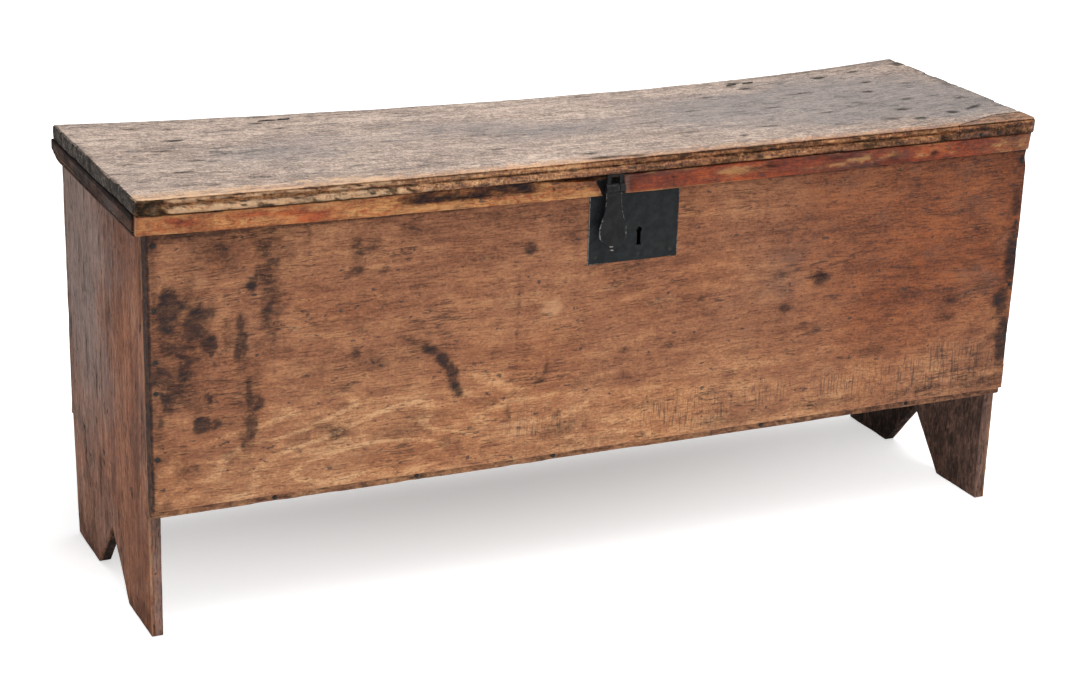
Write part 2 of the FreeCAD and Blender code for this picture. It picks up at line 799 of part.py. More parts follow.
def hasp_leaf():
    """The swinging leaf: knuckle, neck, a belly that flares outward and a curled finger nib."""
    back = leaf_back
    front = leaf_back - hasp_leaf_thickness
    nib_bottom = hasp_leaf_bottom - hasp_nib_drop
    right = [
        (hasp_middle_knuckle / 2, hasp_axis_height),
        (hasp_middle_knuckle / 2, hasp_axis_height - hasp_barrel / 2),
        (hasp_neck_width / 2, hasp_axis_height - hasp_barrel / 2),
        (hasp_neck_width / 2, hasp_axis_height - hasp_neck_drop),
        (hasp_shoulder_width / 2, hasp_shoulder_height),
        (hasp_belly_width / 2, hasp_belly_height + hasp_belly_length / 2),
        (hasp_belly_width / 2, hasp_belly_height - hasp_belly_length / 2),
        (hasp_foot_width / 2, hasp_leaf_bottom),
        (hasp_nib_root_width / 2, hasp_leaf_bottom - hasp_nib_root_drop),
        (hasp_nib_width / 2, nib_bottom),
    ]
    outline = [(hasp_place + w, z) for w, z in right] + [(hasp_place - w, z) for w, z in reversed(right)]
    depth = hasp_flare + hasp_nib_curl
    blank = profile_xz(outline, front - depth, back)
    # side view of the plate: straight to the staple, then curling outward to the nib
    flare_top = staple_height - staple_span / 2
    side = [
        (back, hasp_axis_height),
        (back, flare_top),
        (back - hasp_flare, hasp_leaf_bottom),
        (back - depth, nib_bottom),
        (front - depth, nib_bottom),
        (front - hasp_flare, hasp_leaf_bottom),
        (front, flare_top),
        (front, hasp_axis_height),
    ]
    plate = blank.common(profile_yz(side, hasp_place - hasp_belly_width, hasp_place + hasp_belly_width))
    knuckle = hasp_knuckle(hasp_place - hasp_middle_knuckle / 2, hasp_place + hasp_middle_knuckle / 2)
    middle = Vector(hasp_place, hasp_axis_y, hasp_axis_height)
    reach = X_AXIS * hasp_belly_width
    inner = X_AXIS * (hasp_middle_knuckle / 2)
    # room beside the middle knuckle for the strap's two
    beside = hasp_barrel + 2 * hasp_side_gap
    sides = [rod(middle + inner * sign, middle + reach * sign, beside) for sign in (-1, 1)]
    bore = rod(middle - reach, middle + reach, hasp_pin_diameter + 2 * hasp_pin_gap)
    return plate.cut(sides).fuse(knuckle).cut(bore).removeSplitter()


def hasp_staple():
    """The loop on the leaf's back that the bolt shoots through."""
    low = staple_height - staple_span / 2
    high = staple_height + staple_span / 2
    x0 = hasp_place - staple_width / 2
    x1 = hasp_place + staple_width / 2
    nose = leaf_back + staple_reach
    block = slab(x0, x1, leaf_back, nose, low, high)
    eye = slab(x0, x1, leaf_back, nose - staple_bar, low + staple_bar, high - staple_bar)
    return block.cut(eye)


# --- cleat, lip and patch ---------------------------------------------------------------------
def cleat_section(x):
    """The cleat's side view, which fits the lid's underside, with its back end swept up."""
    def under(y):
        return lid_underside(x, y) - joint_gap

    heel_start = Vector(x, cleat_back - cleat_heel_length, cleat_bottom)
    heel_end = Vector(x, cleat_back, cleat_bottom + cleat_heel_rise)
    heel_radius = (cleat_heel_length ** 2 + cleat_heel_rise ** 2) / (2 * cleat_heel_rise)
    half_run = cleat_heel_length / 2
    half_rise = heel_radius - math.sqrt(heel_radius ** 2 - half_run ** 2)
    heel_middle = Vector(x, cleat_back - half_run, cleat_bottom + half_rise)
    back_top = Vector(x, cleat_back, under(cleat_back))
    front_top = Vector(x, cleat_front, under(cleat_front))
    front_low = Vector(x, cleat_front, cleat_bottom)
    edges = [
        Part.makeLine(front_low, heel_start),
        Part.Arc(heel_start, heel_middle, heel_end).toShape(),
        Part.makeLine(heel_end, back_top),
        Part.makeLine(back_top, front_top),
        Part.makeLine(front_top, front_low),
    ]
    return Part.Wire(edges)


def lid_cleat():
    """The cleat under the lid's left end, outside the end board."""
    return loft_along_x([cleat_left, cleat_right], cleat_section)


def patch_wedge():
    """The wedge of the lid's front right corner that was cut away and pieced in."""
    margin = 20.0
    tip_x = lid_right - patch_length
    corners = [
        Vector(tip_x, lid_front - margin, 0),
        Vector(lid_right + margin, lid_front - margin, 0),
        Vector(lid_right + margin, lid_front + patch_depth, 0),
        Vector(lid_right - patch_square_length, lid_front + patch_depth, 0),
        Vector(tip_x, lid_front + patch_tip_depth, 0),
    ]
    face = Part.Face(Part.makePolygon(corners + corners[:1]))
    bottom = lid_back_low - margin
    face.translate(Vector(0, 0, bottom))
    return face.extrude(Vector(0, 0, lid_front_height + lid_thickness + margin - bottom))


# --- the whole chest --------------------------------------------------------------------------
def build():
    """Every node's shape, still in the case's own coordinates."""
    nails = {
        "front_nails": front_nails(),
        "back_nails": back_nails(),
        "bottom_nails": bottom_nails(),
        "lock_plate_nails": lock_plate_nails(),
        "cleat_nails": cleat_nails(),
        "lip_nails": lip_nails(),
        "patch_nails": patch_nails(),
        "strap_nails": strap_nails(),
    }
    case_nails = nails["front_nails"] + nails["back_nails"] + nails["bottom_nails"]
    plate_nails = nails["lock_plate_nails"]
    lid_nails = nails["cleat_nails"] + nails["lip_nails"] + nails["patch_nails"] + nails["strap_nails"]
    eyes = {side: hinge_eye(x) for side, x in (("left", -hinge_offset), ("right", hinge_offset))}
    loops = {side: hinge_loop(x) for side, x in (("left", -hinge_offset), ("right", hinge_offset))}

    left = end_board(-1)
    right = end_board(1)
    front = front_board().cut(case_nails + plate_nails)
    back = back_board().cut(case_nails + list(eyes.values()))
    bottom = bottom_board().cut(case_nails)

    blank = loft_along_x(stations(lid_left, lid_right, lid_section_count), lid_section)
    wedge = patch_wedge()
    lid = blank.cut(wedge).cut(lid_nails + list(loops.values()))
    patch = blank.common(wedge).cut(lid_nails)
    lip_left = loft_along_x(stations(*lip_left_ends, lip_section_count), lip_section)
    lip_right = loft_along_x(stations(*lip_right_ends, lip_section_count), lip_section)

    parts = {
        "left_end_board": left.cut(case_nails),
        "right_end_board": right.cut(case_nails),
        "front_board": front,
        "back_board": back,
        "bottom_board": bottom,
        "lid_board": lid,
        "lid_corner_patch": patch,
        "lid_cleat": lid_cleat().cut(nails["cleat_nails"]),
        "lid_lip_left": lip_left.cut(nails["lip_nails"]),
        "lid_lip_right": lip_right.cut(nails["lip_nails"]),
        "lock_plate": lock_plate().cut(plate_nails),
        "lock_case": lock_case(),
        "lock_bolt": lock_bolt(),
        "bolt_guides": Part.makeCompound(bolt_guides()),
        "bolt_spring": bolt_spring(),
        "key_post": key_post(),
        "hasp_strap": hasp_strap().cut(nails["strap_nails"]),
        "hasp_pin": hasp_pin(),
        "hasp_leaf": hasp_leaf(),
        "hasp_staple": hasp_staple(),
    }
    for side in ("left", "right"):
        parts["hinge_eye_" + side] = eyes[side]
        parts["hinge_loop_" + side] = loops[side]
    for name, group in nails.items():
        parts[name] = Part.makeCompound(group)
    return parts


def origin():
    """The middle of the whole object's footprint on the floor."""
    hasp_front = leaf_back - hasp_leaf_thickness - hasp_flare - hasp_nib_curl
    clinch_back = back_face + clinch_lift + hinge_wire
    return Vector((lid_left + lid_right) / 2, (hasp_front + clinch_back) / 2, 0)


os.makedirs("parts", exist_ok=True)
for node, shape in build().items():
    shape.translate(-origin())
    shape.exportStep("parts/" + node + ".step")
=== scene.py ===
import bmesh
import bpy
import functools
import math
import numpy as np
from mathutils import Matrix, Vector


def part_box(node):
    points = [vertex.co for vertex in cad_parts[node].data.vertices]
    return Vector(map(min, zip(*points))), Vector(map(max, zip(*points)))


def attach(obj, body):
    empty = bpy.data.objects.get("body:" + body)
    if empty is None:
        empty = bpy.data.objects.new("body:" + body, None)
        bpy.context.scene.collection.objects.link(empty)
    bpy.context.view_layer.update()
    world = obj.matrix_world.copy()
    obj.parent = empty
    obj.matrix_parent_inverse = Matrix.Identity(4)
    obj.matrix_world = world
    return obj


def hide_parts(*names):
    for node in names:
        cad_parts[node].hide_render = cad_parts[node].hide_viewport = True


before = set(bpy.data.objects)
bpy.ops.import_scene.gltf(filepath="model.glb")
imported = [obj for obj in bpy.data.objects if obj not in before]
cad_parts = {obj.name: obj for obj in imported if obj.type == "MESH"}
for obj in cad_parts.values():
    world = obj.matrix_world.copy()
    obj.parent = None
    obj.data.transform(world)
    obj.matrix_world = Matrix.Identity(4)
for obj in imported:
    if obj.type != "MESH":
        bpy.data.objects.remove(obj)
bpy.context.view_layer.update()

# Everything below is worked out in millimetres with X = 0 midway between the end boards, Y = 0 at
# their front edges and Z = 0 on the floor; row() turns that into the frame's metres.
MM = 0.001
HALF = 550.0                            # from the middle to an end board's outer face
END_DEPTH, END_THICK = 313.0, 14.0
FRONT_FACE, FRONT_THICK = -19.0, 19.0
FRONT_LOW, FRONT_HIGH = 158.0, 486.0    # the face, without the strip below it
STRIP_LOW, STRIP_FACE = 147.6, -13.0
BACK_FACE, BACK_THICK = 322.0, 9.0
BACK_LOW, BACK_HIGH = 150.0, 472.0
BOTTOM_HALF, BOTTOM_TOP, BOTTOM_THICK = 536.0, 161.0, 14.0
end_low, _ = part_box("left_end_board")
SHIFT = np.array([end_low.x / MM + HALF, end_low.y / MM, 0.0])


def row(points):
    """The frame's metres for places in case millimetres."""
    return (np.asarray(points, float) + SHIFT) * MM


# --- noise ------------------------------------------------------------------------------------
def lattice(ix, iy, iz, seed):
    """A fixed pseudo-random number from 0 to 1 for each whole-number place."""
    n = ix * 73856093 + iy * 19349663 + iz * 83492791 + seed * 297121507
    n = (n ^ (n >> 13)) & 0xFFFFFFFF
    n = (n * 1274126177) & 0xFFFFFFFF
    n = (n ^ (n >> 16)) & 0xFFFFFFFF
    n = (n * 2246822519) & 0xFFFFFFFF
    return ((n ^ (n >> 15)) & 0xFFFF) / 65535.0


def noise(p, size, seed=0):
    """Smooth noise from -1 to 1 at (N, 3) places; size is the cell's size, one number or three."""
    q = np.asarray(p, float) / np.asarray(size, float)
    base = np.floor(q).astype(np.int64)
    f = q - base
    f = f * f * f * (f * (f * 6 - 15) + 10)
    total = np.zeros(len(q))
    for dx in (0, 1):
        for dy in (0, 1):
            for dz in (0, 1):
                share = np.ones(len(q))
                for axis, d in enumerate((dx, dy, dz)):
                    share = share * (f[:, axis] if d else 1 - f[:, axis])
                total += share * lattice(base[:, 0] + dx, base[:, 1] + dy, base[:, 2] + dz, seed)
    return total * 2 - 1


def fbm(p, size, seed=0, octaves=4):
    """Sizes of noise added up, each half as large and half as strong as the one before."""
    size = np.asarray(size, float)
    shares = 0.5 ** np.arange(octaves)
    total = np.zeros(len(p))
    for k, share in enumerate(shares):
        total += share * noise(p, size / 2 ** k, seed + 31 * k)
    return total / shares.sum()


def ramp(x, low, high):
    """0 below low, 1 above high, smooth between."""
    t = np.clip((np.asarray(x, float) - low) / (high - low), 0, 1)
    return t * t * (3 - 2 * t)


def bell(d):
    """1 where d is 0, falling away on both sides."""
    return np.exp(-d ** 2)


def dot(dx, dy):
    """A soft round spot: 1 where both are 0."""
    return np.exp(-(dx ** 2 + dy ** 2))


def most(*masks):
    """The largest of several masks at each place."""
    return functools.reduce(np.maximum, masks)


def string(values, axis=0):
    """Places along one axis only, for noise that changes only along it."""
    p = np.zeros((len(values), 3))
    p[:, axis] = values
    return p


# --- meshes -----------------------------------------------------------------------------------
def new_object(name, verts, faces, smooth=True):
    """A mesh object whose faces all look outwards."""
    mesh = bpy.data.meshes.new(name)
    mesh.from_pydata([tuple(v) for v in verts], [], [tuple(f) for f in faces])
    mesh.validate()
    mesh.update()
    if smooth:
        mesh.shade_smooth()
    obj = bpy.data.objects.new(name, mesh)
    bpy.context.scene.collection.objects.link(obj)
    shell = bmesh.new()
    shell.from_mesh(mesh)
    bmesh.ops.recalc_face_normals(shell, faces=shell.faces)
    shell.to_mesh(mesh)
    shell.free()
    return obj


def places(obj):
    """The (N, 3) vertex places of an object, in case millimetres."""
    co = np.empty(len(obj.data.vertices) * 3)
    obj.data.vertices.foreach_get("co", co)
    return co.reshape(-1, 3) / MM - SHIFT


def set_places(obj, points):
    obj.data.vertices.foreach_set("co", row(points).ravel())
    obj.data.update()


def normals(obj):
    n = np.empty(len(obj.data.vertices) * 3)
    obj.data.vertex_normals.foreach_get("vector", n)
    return n.reshape(-1, 3)


def paint(obj, **masks):
    """Keeps each mask as one number per vertex for the material to read; only lift goes below 0."""
    for name, values in masks.items():
        least = -1 if name == "lift" else 0
        layer = obj.data.attributes.new(name, "FLOAT", "POINT")
        layer.data.foreach_set("value", np.clip(values, least, 1).astype(np.float32))


def crease(obj, degrees):
    """Shades as sharp the edges that bend more than this."""
    obj.data.set_sharp_from_angle(angle=math.radians(degrees))


def spread(length, step, edge_steps=(0.0, 1.6, 3.4)):
    """Places along 0..1 with a few close ones at each end and even ones between."""
    start = [e / length for e in edge_steps]
    inner = start[-1]
    count = max(2, int(round((1 - 2 * inner) * length / step)))
    middle = np.linspace(inner, 1 - inner, count + 1)
    return np.array(start[:-1] + list(middle) + [1 - e for e in reversed(start[:-1])])


# A board's edge is ROWS rows of places, of which len(ARC) at each side round its two arrises.
ROWS = 12
ARC = (math.radians(30), math.radians(60), math.radians(90))


def plain_rows(radius, thickness):
    """(ROWS, L, 2) out and depth of a plain rounded edge; radius is one number per loop place."""
    arc = [(radius * math.sin(a), radius * (1 - math.cos(a))) for a in ARC]
    middle = ROWS - 2 * len(ARC)
    flat = [(radius, radius + (thickness - 2 * radius) * (k + 1) / (middle + 1)) for k in range(middle)]
    rows = arc + flat + [(out, thickness - depth) for out, depth in reversed(arc)]
    return np.array([np.stack(pair, 1) for pair in rows])


def plank(name, us, vs, outline, thickness, place, radius, wear, seed, edge=None, back_low=None):
    """A board on a grid: outline(u, v) gives (a, b) in its plane, place(a, b, depth) the 3-D place.
    radius rounds its arrises and wear varies that.  edge(a) gives other rows of (out, depth), and
    their inset, for the side where v is 0; back_low is where the back face ends on that side."""
    nv = len(vs)
    u, v = np.meshgrid(us, vs, indexing="ij")
    a, b = (np.array(c, float) for c in outline(u.ravel(), v.ravel()))
    ids = np.arange(len(a)).reshape(-1, nv)
    loop = np.concatenate([ids[:, 0], ids[-1, 1:], ids[-2::-1, -1], ids[0, -2:0:-1]])
    length = len(loop)
    i, j = np.divmod(loop, nv)
    side_a = (i == len(us) - 1) * 1.0 - (i == 0)
    side_b = (j == nv - 1) * 1.0 - (j == 0)

    rim = np.stack([a[loop], b[loop], np.full(length, seed * 37.0)], 1)
    radii = np.clip(radius * (1 + wear * fbm(rim, 38.0, seed, 3)), 0.35, None)
    rows = plain_rows(radii, thickness)
    out_a, out_b, depth = rows[:, :, 0], rows[:, :, 0].copy(), rows[:, :, 1]
    inset_b = radii.copy()
    below = side_b < 0
    if edge:
        profile, inset_b[below] = edge(a[loop][below])
        out_b[:, below] = profile[:, :, 0]
        depth[:, below] = profile[:, :, 1]
    a[loop] -= side_a * radii
    b[loop] -= side_b * inset_b
    verts = [place(a, b, np.zeros(len(a)))]
    for k in range(ROWS):
        verts.append(place(a[loop] + side_a * out_a[k], b[loop] + side_b * out_b[k], depth[k]))
    if back_low is not None:
        b[loop[below]] = back_low
    verts.append(place(a, b, np.full(len(a), float(thickness))))

    face = np.stack([ids[:-1, :-1], ids[1:, :-1], ids[1:, 1:], ids[:-1, 1:]], -1).reshape(-1, 4)
    under = len(a) + ROWS * length
    rings = [loop] + [len(a) + k * length + np.arange(length) for k in range(ROWS)] + [under + loop]
    faces = [face]
    for lower, upper in zip(rings, rings[1:]):
        faces.append(np.stack([lower, np.roll(lower, -1), np.roll(upper, -1), upper], 1))
    faces.append(face[:, ::-1] + under)
    return new_object(name, row(np.concatenate(verts)), np.concatenate(faces).tolist())


def cut(obj, *tools, operation="DIFFERENCE"):
    """Takes closed meshes away from an object, or keeps what they share; the tools are used up."""
    for tool in tools:
        modifier = obj.modifiers.new("cut", "BOOLEAN")
        modifier.operation = operation
        modifier.solver = "MANIFOLD"
        modifier.object = tool
    graph = bpy.context.evaluated_depsgraph_get()
    graph.update()
    mesh = bpy.data.meshes.new_from_object(obj.evaluated_get(graph))
    obj.modifiers.clear()
    old, obj.data = obj.data, mesh
    bpy.data.meshes.remove(old)
    for tool in tools:
        bpy.data.objects.remove(tool)


def box(name, low, high):
    """A plain closed box, for cutting."""
    corners = [(x, y, z) for x in (low[0], high[0]) for y in (low[1], high[1]) for z in (low[2], high[2])]
    faces = [(0, 1, 3, 2), (4, 6, 7, 5), (0, 4, 5, 1), (2, 3, 7, 6), (0, 2, 6, 4), (1, 5, 7, 3)]
    return new_object(name, row(corners), faces, smooth=False)


def prism(name, outline, low, high, axis):
    """A closed outline pushed along an axis, for cutting; the outline's pairs are the other two axes."""
    n = len(outline)
    verts = np.insert(np.array(list(outline) * 2, float), axis, [low] * n + [high] * n, axis=1)
    faces = [list(range(n)), list(range(2 * n - 1, n - 1, -1))]
    faces += [[i, (i + 1) % n, n + (i + 1) % n, n + i] for i in range(n)]
    return new_object(name, row(verts), faces, smooth=False)


def weather(obj, axis, swell, grain, seed, limit=None):
    """Uneven hand-planed and worn surfaces: axis is the grain's, limit(p) says where it works."""
    p = places(obj)
    broad, fine = np.full(3, 60.0), np.full(3, 9.0)
    broad[axis], fine[axis] = 170.0, 90.0
    d = swell * fbm(p, broad, seed, 3) + grain * fbm(p, fine, seed + 7, 3)
    if limit is not None:
        d = d * limit(p)
    set_places(obj, p + normals(obj) * d[:, None])


# --- the lid's bowed shape, as in the CAD -----------------------------------------------------
LID_LEFT, LID_RIGHT, LID_FRONT, LID_BACK = -565.0, 552.0, -35.0, 300.0
LID_THICK = 17.0
LID_MIDDLE = 150.0                      # where its curled back edge is lowest
BACK_UNDER, CURL_LEFT, CURL_RIGHT = 476.0, 17.0, 13.0
FRONT_UNDER, CURL_FRONT = 491.0, 5.0
LIP_FRONT, LIP_BACK = -32.2, -20.6
HASP_X = -15.5


def lid_front_under(x):
    return FRONT_UNDER + CURL_FRONT * np.clip(np.asarray(x, float) / LID_LEFT, 0, None) ** 2


def lid_under(x, y):
    """How high the warped lid's underside is."""
    x = np.asarray(x, float)
    left = ((x - LID_MIDDLE) / (LID_LEFT - LID_MIDDLE)) ** 2 * CURL_LEFT
    right = ((x - LID_MIDDLE) / (LID_RIGHT - LID_MIDDLE)) ** 2 * CURL_RIGHT
    back = BACK_UNDER + np.where(x < LID_MIDDLE, left, right)
    share = (y - LID_FRONT) / (LID_BACK - LID_FRONT)
    return lid_front_under(x) * (1 - share) + back * share


def lid_place(a, b, depth):
    return np.stack([a, b, lid_under(a, b) + LID_THICK - depth], 1)


# The front moulding, from the top down: how far each row of the edge stands out, and its depth.
NOSE_INSET = 9.3
NOSE_ROWS = np.array([
    (3.4, 0.2), (5.4, 1.4), (6.4, 3.2), (6.6, 5.0), (5.6, 6.4), (4.8, 7.6),
    (6.4, 8.6), (8.7, 10.0), (9.3, 12.4), (9.0, 14.8), (7.9, 16.5), (3.3, 17.0),
])
PATCH_ROWS = np.array([
    (2.4, 0.3), (4.9, 1.1), (6.9, 2.5), (8.3, 4.4), (9.0, 6.6), (9.2, 8.4),
    (9.3, 10.2), (9.3, 12.2), (9.2, 14.2), (8.6, 16.1), (7.2, 17.0), (3.4, 17.0),
])
# How much each of those rows takes part in a kind of wear.
LOWER_BEAD = np.array([0, 0, 0, 0, 0, 0.2, 0.7, 1, 1, 1, 0.7, 0.2])
UPPER_BEAD = np.array([0.5, 0.8, 1, 0.8, 0.4, 0.1, 0, 0, 0, 0, 0, 0])
GROOVE = np.array([0, 0, 0.2, 0.6, 1, 1, 0.6, 0.1, 0, 0, 0, 0])
FALL = np.array([1.3, 1.7, 1.7, 1.2, 0.6, 0.2, 0, 0, 0, 0, 0, 0])
UNDERCUT = np.array([0, 0, 0, 0.3, 0.7, 1, 1, 1, 1, 0.9, 0.6, 0.1])
NOTCH_X = 421.0
PATCH_TIP = LID_RIGHT - 114.0
PATCH_REACH = 440.0, 540.0              # heights well below and above the lid
WEDGE = [(PATCH_TIP, -55.0), (572.0, -55.0), (572.0, 0.5), (508.0, 0.5), (PATCH_TIP, -30.0)]


def lid_nose(a):
    """The front moulding: worn along its length, broken at the left end, plain on the patch."""
    p = string(a)
    share = ramp(a, PATCH_TIP - 6, PATCH_TIP + 3)[None, :, None]
    rows = NOSE_ROWS[:, None] * (1 - share) + PATCH_ROWS[:, None] * share
    out, depth = rows[:, :, 0], rows[:, :, 1]
    worn = fbm(p, 45.0, 51, 4)
    nick = ramp(fbm(p, 16.0, 52, 3), 0.30, 0.62) * ramp(-a, -PATCH_TIP, -PATCH_TIP + 60)
    broken = ramp(-a, 524.0, 536.0)
    wide = ramp(-a, 330.0, 360.0) * (1 - broken) + 0.25 * ramp(a, 60.0, 120.0) * (1 - ramp(a, 400.0, 430.0))
    crumble = broken * (4.8 + 3.6 * fbm(p, 7.0, 54, 3))
    out -= np.outer(LOWER_BEAD, 0.7 * worn + 0.7 + 2.6 * nick)
    out -= np.outer(UPPER_BEAD, 0.8 * fbm(p, 30.0, 53, 3) + 0.3)
    out -= np.outer(GROOVE, wide * (1.7 + 0.7 * fbm(p, 12.0, 55, 3)))
    out -= np.minimum(out * 0.75, np.outer(LOWER_BEAD + UPPER_BEAD * 0.7, crumble))
    depth += np.outer(FALL, broken * (0.8 + 1.2 * fbm(p, 9.0, 56, 3)))
    out -= np.minimum(out * 0.7, np.outer(UNDERCUT, 3.6 * bell((a - NOTCH_X) / 9.0) * (1 + 0.5 * worn)))
    return rows, NOSE_INSET


def corner_round(a, b, edge, at, radius, side):
    """Draws a board's end in near one of its corners, so that the corner is rounded in plan."""
    d = np.clip(radius - np.abs(b - at), 0, radius)
    pull = radius - np.sqrt(np.clip(radius ** 2 - d ** 2, 0, None))
    return a - side * pull * ramp(side * (a - edge), -30.0, 0.0)


def gouge(obj, marks):
    """Presses long dents into an upward face."""
    p = places(obj)
    x, y, _ = p.T
    drop = sum(deep * dot((x - at) / long, (y - over) / wide) for at, over, long, wide, deep in marks)
    p[:, 2] -= drop * np.clip(normals(obj)[:, 2], 0, 1)
    set_places(obj, p)


# Dents and nicks in the lid's top: place along and across, half length, half width, depth.
LID_GOUGES = [
    (-380.0, 40.0, 16.0, 1.6, 0.9), (-300.0, 150.0, 22.0, 2.0, 0.7), (-120.0, 60.0, 14.0, 2.0, 0.8),
    (40.0, 210.0, 30.0, 1.8, 0.7), (180.0, 20.0, 26.0, 1.5, 0.8), (330.0, 90.0, 18.0, 2.4, 1.0),
    (430.0, 160.0, 9.0, 3.0, 1.2), (470.0, 40.0, 12.0, 2.6, 1.2), (-60.0, -8.0, 20.0, 5.0, 1.6),
    (505.0, 120.0, 10.0, 3.0, 1.1), (250.0, 240.0, 24.0, 2.2, 0.8), (-470.0, 220.0, 26.0, 2.0, 0.8),
]


def make_lid():
    width, depth = LID_RIGHT - LID_LEFT, LID_BACK - LID_FRONT

    def outline(u, v):
        a, b = LID_LEFT + u * width, LID_FRONT + v * depth
        a = corner_round(a, b, LID_RIGHT, LID_FRONT, 9.0, 1)
        a = corner_round(a, b, LID_RIGHT, LID_BACK, 7.0, 1)
        a = corner_round(a, b, LID_LEFT, LID_BACK, 5.0, -1)
        end = string(b, 1)
        ragged = 1.4 * fbm(end, 60.0, 57, 4) + 0.9 + 2.4 * ramp(fbm(end, 9.0, 59, 3), 0.1, 0.5)
        a = (a - ragged * ramp(a, LID_RIGHT - 25, LID_RIGHT)
             + 0.4 * ragged * ramp(-a, -LID_LEFT - 25, -LID_LEFT))
        b = b - (1.3 * fbm(string(a), 90.0, 58, 4) + 0.9) * ramp(b, LID_BACK - 25, LID_BACK)
        return a, b

    def upper(p):
        return ramp(p[:, 2] - lid_under(p[:, 0], p[:, 1]), 3.0, 10.0)

    lid = plank("lid_plank", spread(width, 3.6), spread(depth, 3.6, (0.0, 3.2, 6.4)), outline, LID_THICK,
                lid_place, 2.6, 0.6, 11, edge=lid_nose)
    weather(lid, 0, 0.7, 0.16, 12, upper)
    gouge(lid, LID_GOUGES)
    patch = bpy.data.objects.new("lid_patch", lid.data.copy())
    bpy.context.scene.collection.objects.link(patch)
    grown = [(x - 0.5, y) if x < 500 else (x, y + 0.45) for x, y in WEDGE]
    cut(patch, prism("wedge", WEDGE, *PATCH_REACH, 2), operation="INTERSECT")
    cut(lid, prism("wider_wedge", grown, *PATCH_REACH, 2))
    for obj, node in ((lid, "lid_board"), (patch, "lid_corner_patch")):
        crease(obj, 48)
        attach(obj, "lid")
        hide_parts(node)
    return lid, patch


# --- the case's boards ------------------------------------------------------------------------
# The front board's lower edge: a worn arris, then a strip set back under it.
FRONT_ROWS = np.array([
    (0.9, 0.3), (1.5, 0.9), (1.8, 2.0), (1.8, 4.2), (2.1, 6.0), (3.2, 6.4),
    (9.0, 6.4), (11.0, 7.2), (12.2, 8.6), (12.8, 10.6), (12.8, 14.5), (12.5, 18.3),
])
STRIP_ARRIS = np.array([1, 1, 1, 0.6, 0, 0, 0, 0, 0, 0, 0, 0])
STRIP_FOOT = np.array([0, 0, 0, 0, 0, 0, 0.5, 1, 1, 1, 0.5, 0])


def front_strip(a):
    p = string(a)
    rows = np.repeat(FRONT_ROWS[:, None, :], len(a), 1)
    rows[:, :, 0] -= np.outer(STRIP_ARRIS, 0.35 * fbm(p, 40.0, 61, 4))
    rows[:, :, 0] -= np.outer(STRIP_FOOT, 0.8 * ramp(fbm(p, 60.0, 62, 4), 0.0, 0.6))
    return rows, 1.8


def front_outline(u, v):
    """Its right end leans out as it rises, and a chip is missing near the top."""
    z = FRONT_LOW + (FRONT_HIGH - FRONT_LOW) * v
    lean = 546.5 + 3.5 * (z - 147.0) / 339.0
    end = string(z, 2)
    chip = 3.0 * bell((z - 458.0) / 9.0) + 0.9 * ramp(fbm(end, 26.0, 63, 4), 0.0, 0.5)
    x = -HALF + (lean + HALF) * u - chip * ramp(u, 0.985, 1.0)
    left = 0.7 * ramp(fbm(end + 500, 22.0, 64, 4), 0.0, 0.5)
    return x + left * ramp(-u, -0.012, 0.0), z


def make_front():
    def place(a, b, depth):
        return np.stack([a, FRONT_FACE + depth, b], 1)

    front = plank("front_plank", spread(2 * HALF, 3.4), spread(FRONT_HIGH - FRONT_LOW, 3.4), front_outline,
                  FRONT_THICK, place, 1.3, 0.6, 21, edge=front_strip, back_low=STRIP_LOW)
    weather(front, 0, 0.45, 0.1, 22, lambda p: ramp(-p[:, 1], 8.0, 16.0))
    cut(front, box("bed", (-39.9, -25.0, 383.1), (73.9, -17.8, 482.4)),
        box("mortise", (-27.4, -25.0, 393.6), (61.4, 5.0, 458.4)))
    crease(front, 50)
    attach(front, "case")
    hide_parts("front_board")
    return front


# Drying splits in the left end board: place across, lowest and highest point, lean and width.
SPLITS = [(196.0, 206.0, 246.0, 3.0, 1.3), (120.0, 74.0, 120.0, 2.0, 0.7), (236.0, 330.0, 372.0, 1.5, 0.8)]


def split(board, cracks):
    """Cuts thin wedges along the grain out of the outer face."""
    tools = []
    for k, (y, low, high, lean, width) in enumerate(cracks):
        middle, z = y + lean / 2, (low + high) / 2
        outline = [(y, low), (middle + width / 2, z), (y + lean, high), (middle - width / 2, z)]
        tools.append(prism(f"crack_{k}", outline, -HALF - 6, -HALF + 4, 0))
    cut(board, *tools)


# The V cut that makes the feet: its middle, half width and height.
ARCH_Y, ARCH_HALF, ARCH_HEIGHT = 151.0, 63.0, 72.0


